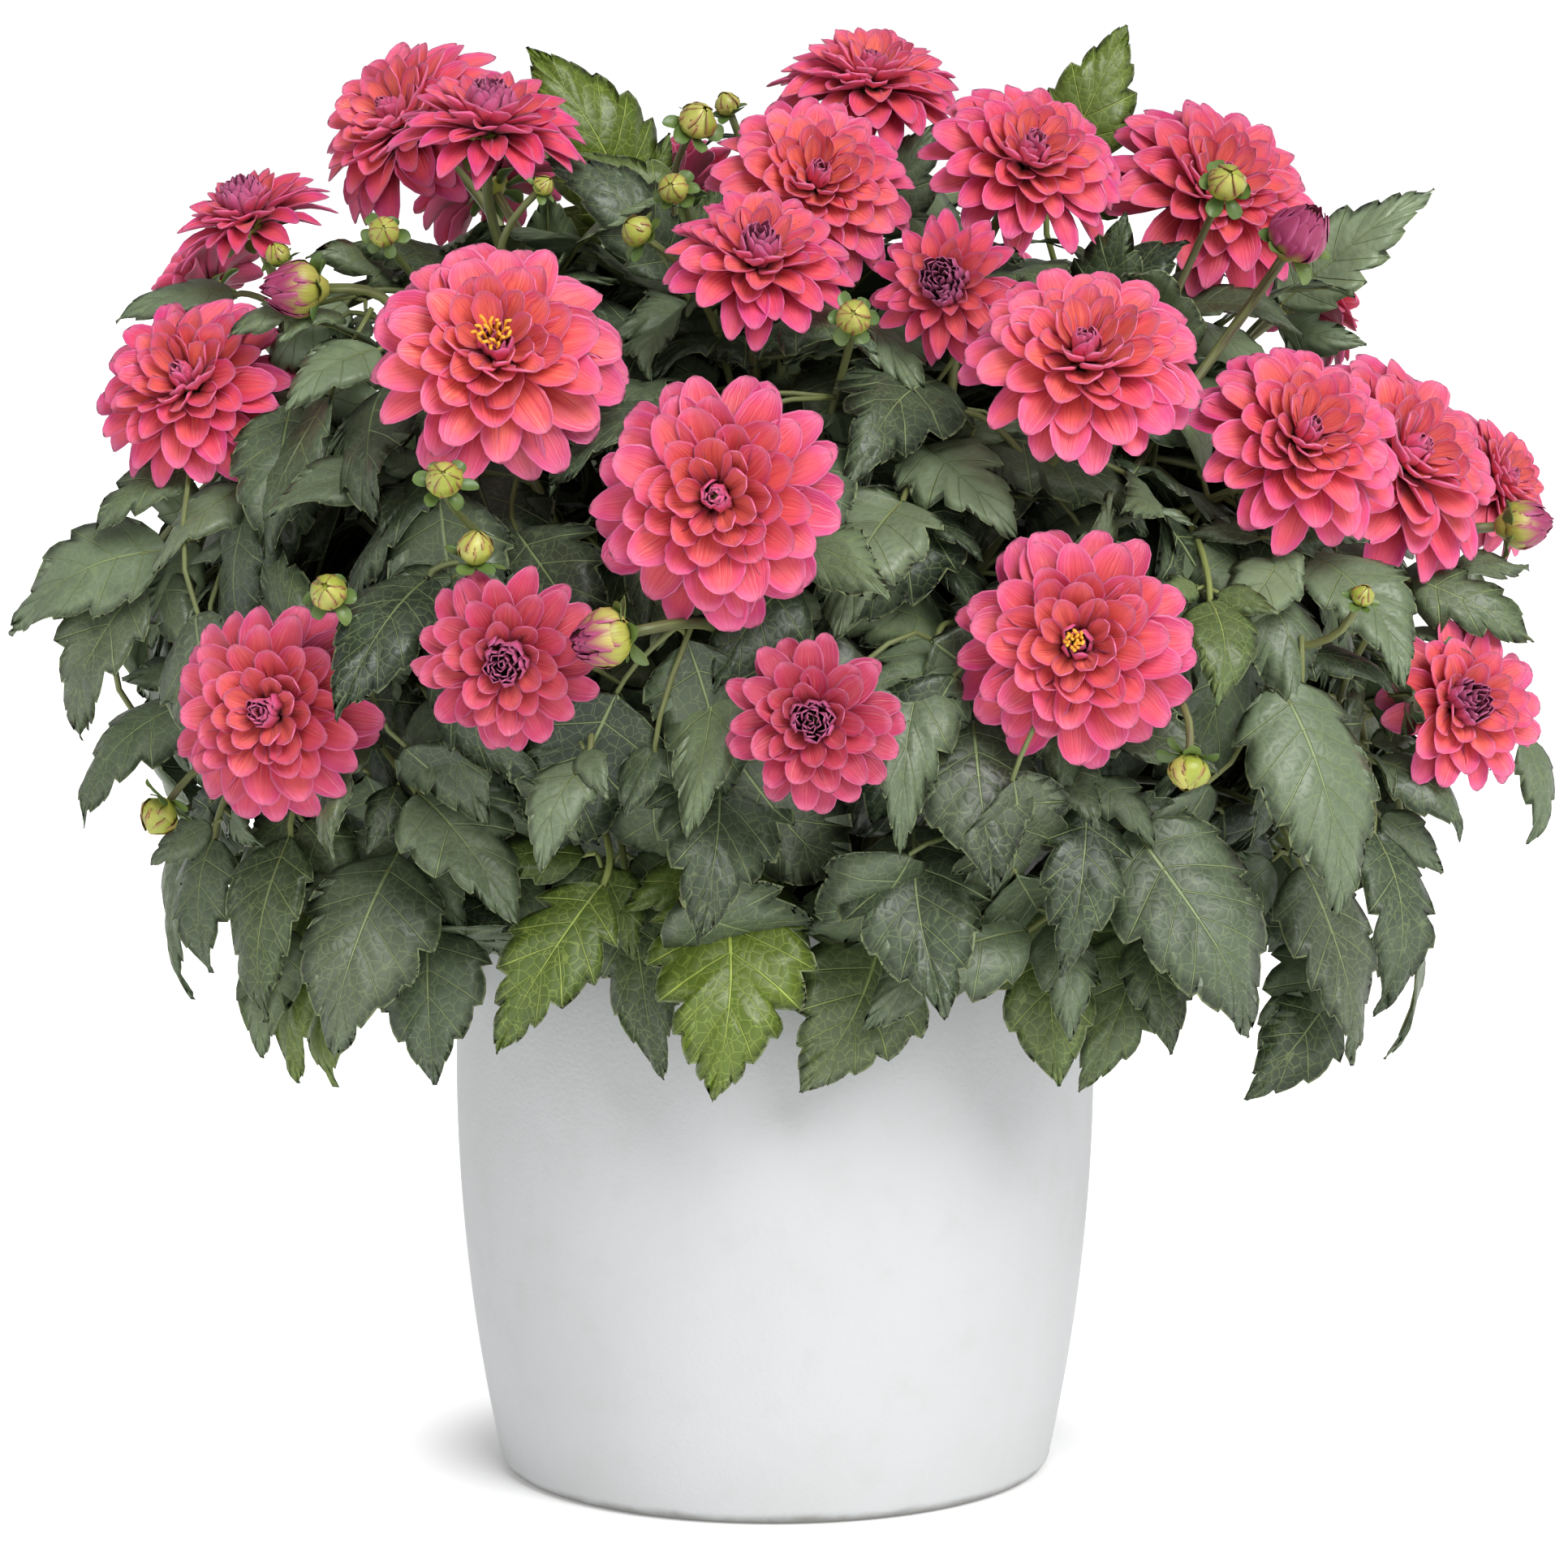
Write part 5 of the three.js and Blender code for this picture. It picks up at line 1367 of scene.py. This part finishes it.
def petal_material():
    """Coral in the middle of a petal, pink at its rim, plum in the heart, with fine lengthwise veins."""
    look = Look("petal", roughness=0.46, sheen_weight=0.12, sheen_roughness=0.4)
    plum, fade_and_shade, warmth, under = look.mark()
    across, along = look.spot()
    aside = look.math("ABSOLUTE", across)
    edge, tip = look.times(across, across), look.math("POWER", along, 4.0)
    rim = look.plus(look.times(edge, 0.5), look.times(tip, 0.5))
    rim = look.plus(rim, look.times(look.math("SUBTRACT", look.noise(70), 0.5), 0.8))
    coral = look.mix(warmth, (0.8, 0.06, 0.11), (0.97, 0.19, 0.12))
    pink = look.mix(warmth, (0.68, 0.04, 0.24), (0.97, 0.16, 0.28))
    look.colour = look.mix(look.ramp(rim, 0.04, 0.7), coral, pink)
    # Painted shade at the foot of each petal, where the petals overlap and shade falls between them, which
    # the warm petals of the heart lack
    foot_shade = look.math("MULTIPLY_ADD", warmth, -0.85, 1.0)
    look.coat(look.times(look.ramp(along, 0.08, 0.9, 0.95, 0.0), foot_shade), (0.37, 0.008, 0.02))
    # The faded tips of outer petals, and where the mark is below 0 the painted shade that darkens some blooms
    tips = look.ramp(along, 0.25, 0.8)
    look.coat(look.times(look.math("MAXIMUM", fade_and_shade, 0.0), tips), (0.83, 0.3, 0.46))
    look.tint(fade_and_shade, 0.0, -1.0, 0.75, (0.36, 0.016, 0.07))
    # Dark and light veins, and the pale margin
    strands = look.strands((across, 17.0), (along, 1.2), (warmth, 9.0))
    look.tint(strands, 0.48, 0.68, 0.55, (0.62, 0.02, 0.09))
    look.tint(strands, 0.45, 0.25, 0.42, (0.97, 0.37, 0.38))
    look.tint(aside, 0.82, 1.0, 0.4, (0.9, 0.26, 0.5))
    look.tint(along, 0.86, 1.0, 0.42, (0.95, 0.28, 0.48))
    # The plum petals of a closed heart, with lilac rims, and every petal's back
    dark = look.mix(look.ramp(along, 0.45, 1.0), (0.14, 0.004, 0.025), (0.62, 0.13, 0.33))
    look.coat(look.times(plum, 0.9), dark)
    look.coat(look.times(look.ramp(aside, 0.6, 1.0, 0.0, 0.7), plum), (0.66, 0.2, 0.42))
    look.coat(look.times(under, 0.6), look.mix(plum, (0.8, 0.12, 0.3), (0.46, 0.07, 0.21)))
    return look.finish(strands, 0.0006)


def bud_material():
    """Yellow-green at the foot of a bud's petals and magenta at their tips."""
    look = Look("bud_petal", roughness=0.42)
    ring, blush, tone, _ = look.mark()
    across, along = look.spot()
    strands = look.strands((across, 9.0), (along, 1.2), tone)
    edge = look.times(look.times(across, across), 0.4)
    reach = look.plus(look.plus(along, edge), look.times(ring, 0.3))
    reach = look.plus(reach, look.times(blush, 0.4))
    look.colour = look.mix(tone, (0.33, 0.36, 0.045), (0.5, 0.45, 0.11))
    look.coat(look.ramp(reach, 0.6, 1.1), (0.3, 0.022, 0.10))
    look.tint(strands, 0.4, 0.7, 0.35, (0.26, 0.05, 0.07))
    margin = look.times(look.ramp(look.math("ABSOLUTE", across), 0.5, 1.0), look.ramp(reach, 0.7, 1.2))
    look.coat(look.times(margin, 0.5), (0.56, 0.12, 0.29))
    return look.finish(strands, 0.0003)


def green_material():
    """The skin of green buds, bracts and the blooms' cups, with a blush along the edges of a bud's scales."""
    look = Look("bud_green", roughness=0.38)
    shade, blush, tone, _ = look.mark()
    across, along = look.spot()
    fresh = look.mix(tone, (0.34, 0.38, 0.045), (0.5, 0.47, 0.11))
    leafy = look.mix(tone, (0.075, 0.14, 0.035), (0.14, 0.21, 0.06))
    look.colour = look.mix(look.ramp(shade, 0.55, 0.95), fresh, leafy)
    look.tint(look.noise(160), 0.35, 0.7, 0.35, (0.15, 0.2, 0.03))
    rim = look.times(look.ramp(look.math("ABSOLUTE", across), 0.45, 1.0), look.ramp(along, 0.25, 0.7))
    look.coat(look.times(blush, look.times(rim, 0.8)), (0.3, 0.07, 0.06))
    return look.finish(look.noise(400), 0.00015)


def leaf_material():
    """Grey-green blades with a lighter net of veins and a pale rim."""
    look = Look("leaf", roughness=0.42, specular_ior_level=0.5)
    under, tone, young, rust = look.mark()
    phase, t = look.spot()
    # One side vein runs to each tooth, where phase is whole
    gap = look.math("ABSOLUTE", look.math("SUBTRACT", look.math("FRACT", look.plus(phase, 0.5)), 0.5))
    side_vein = look.ramp(gap, look.math("MULTIPLY_ADD", t, -0.02, 0.04), 0.006)
    large_veins = look.math("MAXIMUM", side_vein, look.ramp(t, 0.038, 0.014))
    cells = {"Vector": look.where(), "Scale": 210.0}
    net = look.node("ShaderNodeTexVoronoi", cells, feature="DISTANCE_TO_EDGE").outputs[0]
    veins = look.math("MAXIMUM", large_veins, look.ramp(net, 0.055, 0.01, 0.0, 0.36))
    patches = look.noise(30)
    bright = look.mix(patches, (0.055, 0.098, 0.008), (0.13, 0.185, 0.015))
    # Young leaves darken where the tone is low, which holds the painted shade of low and inner leaves
    bright = look.mix(look.ramp(tone, 0.5, 0.0, 0.0, 0.6), bright, (0.045, 0.08, 0.008))
    # The tone runs from dark to light and carries painted shade besides its own random spread
    look.colour = look.mix(tone, (0.012, 0.024, 0.01), (0.212, 0.277, 0.158))
    look.coat(look.times(look.ramp(rust, 0.7, 1.0), 0.45), (0.07, 0.072, 0.045))
    look.tint(patches, 0.4, 0.68, 0.38, (0.11, 0.15, 0.085))
    look.tint(patches, 0.5, 0.3, 0.4, (0.03, 0.045, 0.025))
    look.coat(young, bright)
    look.coat(look.times(veins, 0.8), look.mix(young, (0.24, 0.31, 0.13), (0.38, 0.48, 0.09)))
    look.tint(t, 0.95, 0.99, 0.8, (0.3, 0.36, 0.17))
    look.coat(look.times(under, 0.6), look.mix(young, (0.15, 0.2, 0.11), (0.2, 0.27, 0.06)))
    height = look.math("SUBTRACT", look.times(look.ramp(net, 0.0, 0.4), 0.25), large_veins)
    return look.finish(height, 0.0006, look.ramp(look.noise(60), 0.3, 0.7, 0.36, 0.54))


def stalk_material():
    """Yellow-green to purple-brown stems with faint lengthwise ridges."""
    look = Look("stalk", roughness=0.45)
    young, brown, tone, _ = look.mark()
    along, turn = look.spot()
    fibre = look.strands((along, 0.06), (turn, 2.2), tone, 3.0)
    look.colour = look.mix(tone, (0.13, 0.17, 0.05), (0.21, 0.24, 0.075))
    look.coat(look.times(brown, look.ramp(fibre, 0.3, 0.65)), (0.085, 0.045, 0.035))
    look.coat(young, (0.3, 0.36, 0.1))
    return look.finish(fibre, 0.0005)


def floret_material():
    look = Look("floret", roughness=0.55)
    tone, *_ = look.mark()
    look.colour = look.mix(tone, (0.85, 0.36, 0.02), (0.9, 0.52, 0.05))
    look.tint(look.noise(900), 0.4, 0.7, 0.4, (0.6, 0.2, 0.02))
    return look.finish()


def pot_material():
    """Matt pale ceramic with a faint mottling and pitted skin, darker towards the foot with a ragged dark
    band at its very edge, and with painted light that makes it lighter towards the rim, where the leaves cast
    shade.
    """
    look = Look("pot", roughness=0.5, specular_ior_level=0.35)
    height = look.node("ShaderNodeSeparateXYZ", {0: look.where()}).outputs[2]
    cloud = look.noise(7, 5.0)
    look.colour = look.mix(look.ramp(cloud, 0.3, 0.72), (0.52, 0.53, 0.543), (0.497, 0.506, 0.51))
    look.tint(look.noise(55, 4.0), 0.5, 0.75, 0.12, (0.42, 0.42, 0.4))
    # Darker towards the foot, with a ragged dark band at its very edge
    ragged = look.plus(height, look.times(look.noise(60), -0.005))
    look.tint(ragged, 0.004, -0.0015, 0.8, (0.11, 0.105, 0.09))
    look.tint(height, 0.05, 0.0, 0.16, (0.42, 0.42, 0.4))
    # Painted light and shade: lighter towards the rim, against the shade that the leaves cast there, and a
    # little darker at the foot
    light = look.mix(look.ramp(height, 0.02, 0.26), (0.97, 0.97, 0.97), (1.07, 1.07, 1.07))
    look.coat(1.0, light, "MULTIPLY")
    pits = look.plus(look.noise(420, 2.0), look.times(look.noise(25), 0.8))
    return look.finish(pits, 0.00022, look.ramp(cloud, 0.3, 0.7, 0.44, 0.6))


def soil_material():
    look = Look("soil", roughness=0.95)
    look.colour = look.mix(look.noise(160, 5.0), (0.012, 0.008, 0.006), (0.075, 0.048, 0.03))
    look.tint(look.noise(420), 0.66, 0.72, 0.7, (0.3, 0.26, 0.2))
    return look.finish(look.noise(260, 6.0), 0.002)


def floor_material():
    """A white floor with a painted glow that hides the plant's cast shadow on it, and with less glow and a
    whiter colour round the pot's foot, which leaves a painted contact shadow there.
    """
    look = Look("floor", roughness=0.7, emission_strength=1.0)
    away = look.node("ShaderNodeVectorMath", {0: look.where()}, operation="LENGTH").outputs[1]
    away = look.ramp(away, *PAINTED_FLOOR_GLOW["reach"])
    # Painted glow, weaker round the pot's foot as a painted contact shadow
    painted_glow = look.mix(away, *((strength,) * 3 for strength in PAINTED_FLOOR_GLOW["strengths"]))
    look.put(painted_glow, look.shader.inputs["Emission Color"])
    outer = look.mix(look.noise(2.0), (0.49, 0.49, 0.49), (0.51, 0.51, 0.51))
    look.colour = look.mix(away, (0.9, 0.9, 0.9), outer)
    return look.finish()


# Pieces
def pot_radius(z):
    below = (POT_WIDEST_Z - z) / POT_WIDEST_Z
    above = (z - POT_WIDEST_Z) / (POT_HEIGHT - POT_WIDEST_Z)
    if z < POT_WIDEST_Z:
        return POT_RADIUS - (POT_RADIUS - POT_FOOT_RADIUS) * below**2
    return POT_RADIUS - (POT_RADIUS - POT_RIM_RADIUS) * above**2


def arc(middle, radius, start, end, steps=6):
    """Points round an arc in the profile's plane, with angles in degrees from outwards to up."""
    angles = [math.radians(mix(start, end, i / steps)) for i in range(steps + 1)]
    return [(middle[0] + radius * math.cos(a), middle[1] + radius * math.sin(a)) for a in angles]


def build_pot():
    levels = np.arange(POT_CORNER + 4, POT_HEIGHT - POT_LIP - 2, POT_STEP)
    foot = (pot_radius(POT_CORNER) - POT_CORNER, POT_CORNER)
    profile = [(0, 0), (foot[0] * 0.5, 0)] + arc(foot, POT_CORNER, -90, 0)
    profile += [(pot_radius(z), z) for z in levels]
    profile += arc((POT_RIM_RADIUS - POT_LIP, POT_HEIGHT - POT_LIP), POT_LIP, 0, 90)
    profile += arc((POT_RIM_RADIUS - POT_WALL + POT_LIP, POT_HEIGHT - POT_LIP), POT_LIP, 90, 180)
    profile += [(pot_radius(z) - POT_WALL, z) for z in levels[::-1] if z > POT_FLOOR]
    profile += [(pot_radius(POT_FLOOR) - POT_WALL - POT_INNER_CORNER, POT_FLOOR), (0, POT_FLOOR)]
    form = Form(ceramic)
    lathe(form, profile, POT_SIDES, ceramic)
    made = form.build("pot_body")
    for i in range(DRAIN_HOLE["count"]):
        at = around(i * 2 * math.pi / DRAIN_HOLE["count"], DRAIN_HOLE["circle"], POT_FLOOR / 2)
        drill = Form(ceramic)
        ends = [at + Vector((0, 0, side * POT_FLOOR)) for side in (-1, 1)]
        tube(drill, ends, DRAIN_HOLE["radius"], DRAIN_HOLE["sides"], ceramic)
        cut(made, drill.build("drill"))
    return made


def cut(body, tool):
    """Cuts a tool's volume out of a body, and deletes the tool."""
    modifier = body.modifiers.new("cut", "BOOLEAN")
    modifier.operation, modifier.solver, modifier.object = "DIFFERENCE", "EXACT", tool
    graph = bpy.context.evaluated_depsgraph_get()
    mesh = bpy.data.meshes.new_from_object(body.evaluated_get(graph))
    body.modifiers.clear()
    body.data = mesh
    bpy.data.objects.remove(tool)


def build_soil():
    """The soil with a slight crown, an uneven top and small clods. It stays clear of the pot all round."""
    rng = np.random.default_rng(5)
    up_the_wall = (POT_HEIGHT - SOIL_TOP) / (POT_HEIGHT - POT_WIDEST_Z)
    edge = mix(POT_RIM_RADIUS, POT_RADIUS, up_the_wall) - POT_WALL - SEAT_GAP
    wall = POT_WALL + SEAT_GAP
    under = POT_FLOOR + SEAT_GAP

    def surface(r):
        return mix(SOIL_TOP + SOIL_CROWN, SOIL_TOP, r / edge)

    profile = [(0, under), (pot_radius(POT_FLOOR) - wall - POT_INNER_CORNER, under)]
    levels = np.linspace(POT_FLOOR + 8, POT_WIDEST_Z, 10)
    profile += [(pot_radius(z) - wall - SOIL_SLACK, z) for z in levels]
    profile += [(r, surface(r)) for r in np.linspace(edge - SOIL_SLACK, 1, SOIL_RINGS)]
    profile.append((0, surface(0)))
    form = Form(earth)
    lathe(form, profile, SOIL_SIDES, earth)
    points = form.points[0]
    top = points[:, 2] > SOIL_TOP
    points[top, 2] += rng.normal(0, SOIL_GRAIN, top.sum()) - 1
    for _ in range(SOIL_LUMPS):
        r, turn = edge * 0.96 * math.sqrt(rng.random()), rng.random() * 2 * math.pi
        lump(form, (r * math.cos(turn), r * math.sin(turn), surface(r)), rng.uniform(*SOIL_LUMP), rng)
    return form.build("soil_bed")


def lump(form, at, size, rng):
    """A small uneven clod or chip."""

    def place(points):
        shape = points * rng.uniform(0.5, 1.2, 3) + rng.normal(0, 0.1, points.shape)
        angle = rng.random() * math.pi
        sine, cosine = math.sin(angle), math.cos(angle)
        return shape * size @ np.array([[cosine, -sine, 0], [sine, cosine, 0], [0, 0, 1]]).T + at

    lathe(form, LUMP_PROFILE, LUMP_SIDES, earth, place=place)


def build_stems():
    """One piece for each main stem, with its stalks, green buds and leaves."""
    forms = {number: Form(foliage, stalk, green) for number in range(1, len(STEMS) + 1)}
    for n, (number, kind, path, radius) in enumerate(all_paths(FINE)):
        draw = seeded(300 + n)
        main = kind == "stem"
        brown = 0.85 if main else mix(0.1, 0.9, next(draw))
        radii = np.linspace(radius * (1.12 if main else 1), radius * 0.92, len(path))
        if kind == "stalk":
            radii[0] = radius * 1.3
        sides = STEM_SIDES if main else STALK_SIDES
        tube(forms[number], path, radii, sides, stalk, (0, brown, next(draw), 0))
    for n, (number, at, radius, faces) in enumerate(GREEN_BUDS):
        rng = np.random.default_rng(50 + n)
        form, place = forms[number], Facing(at, looking(faces), radius)
        lathe(form, GREEN_PROFILE, CORE_SIDES, green, (0, 1, rng.random(), 0), place)
        bud_scales(form, place, GREEN_RINGS, GREEN_BELLY, rng, green, 1)
        bracts(form, place, rng, *GREEN_BRACTS)
    roots = list(stem_points())
    for n, (pose, root, number, young, pale) in enumerate(grown_leaves(roots)):
        leaf(forms[number], pose, root, seeded(5000 + n), MAIN_BLADE, young, pale)
    for n, (pose, root, number, kind, shade) in enumerate(inner_poses(roots)):
        leaf(forms[number], pose, root, seeded(7000 + n), kind, 0, shade)
    for n, (pose, root, number) in enumerate([*stalk_poses(), *sprig_poses(roots)]):
        leaf(forms[number], pose, root, seeded(9000 + n), SIDE_BLADE, STALK_LEAF_YOUNG)
    for number, form in forms.items():
        name = STEMS[number - 1][0]
        stand_in(form.build(name + "_leaves"), name)


def stand_in(piece, node):
    """Puts a piece on the part's body in the place of a node."""
    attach(piece, "root")
    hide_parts(node)


def build_stage():
    count = FLOOR["sides"]
    rim = [tuple(around(i * 2 * math.pi / count, FLOOR["radius"], 0)) for i in range(count)]
    floor = Form(ground)
    floor.add(rim, [np.arange(count)[None]], ground)
    piece = floor.build("floor")
    piece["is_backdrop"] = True


def build_lights():
    """A wide soft key from the upper right, and a room that is brightest at the height of the horizon."""
    data = bpy.data.lights.new("key", "SUN")
    data.energy, data.angle = KEY["strength"], math.radians(KEY["softness"])
    light = bpy.data.objects.new("key", data)
    light.rotation_euler = (-looking(KEY["from"])).to_track_quat("-Z", "Y").to_euler()
    bpy.context.scene.collection.objects.link(light)
    world = bpy.data.worlds.new("studio")
    world.use_nodes = True
    nodes, links = world.node_tree.nodes, world.node_tree.links
    direction = nodes.new("ShaderNodeTexCoord")
    parts = nodes.new("ShaderNodeSeparateXYZ")
    fall = nodes.new("ShaderNodeMapRange")
    for socket, value in enumerate((0, *ROOM["heights"], *ROOM["strengths"])):
        fall.inputs[socket].default_value = value
    links.new(direction.outputs["Generated"], parts.inputs[0])
    links.new(parts.outputs[2], fall.inputs[0])
    links.new(fall.outputs[0], nodes["Background"].inputs["Strength"])
    nodes["Background"].inputs["Color"].default_value = (1, 1, 1, 1)
    bpy.context.scene.world = world
    bpy.context.scene.view_settings.view_transform = "Standard"


def build_camera():
    data = bpy.data.cameras.new("camera")
    data.lens, data.sensor_width, data.clip_end = CAMERA["lens"], CAMERA["sensor"], CAMERA["far"]
    camera = bpy.data.objects.new("camera", data)
    away = looking((0, CAMERA["elevation"])) * CAMERA["distance"] * MM
    camera.location = Vector(CAMERA["aim"]) * MM + away
    camera.rotation_euler = (-away).to_track_quat("-Z", "Y").to_euler()
    bpy.context.scene.collection.objects.link(camera)
    bpy.context.scene.camera = camera


petal, bud_petal, green = petal_material(), bud_material(), green_material()
foliage, stalk, florets = leaf_material(), stalk_material(), floret_material()
ceramic, earth, ground = pot_material(), soil_material(), floor_material()

stand_in(build_pot(), "pot")
stand_in(build_soil(), "soil")
build_stems()
for name, _, at, radius, faces, open_share in BLOOMS:
    stand_in(bloom(name, at, radius, faces, open_share), name)
for name, _, at, radius, faces in OPENING_BUDS:
    stand_in(opening_bud(name, at, radius, faces), name)
build_stage()
build_lights()
build_camera()

boxes = {"cad": cad_box, "visual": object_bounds()}
{key: [list(corner) for corner in box] for key, box in boxes.items()}
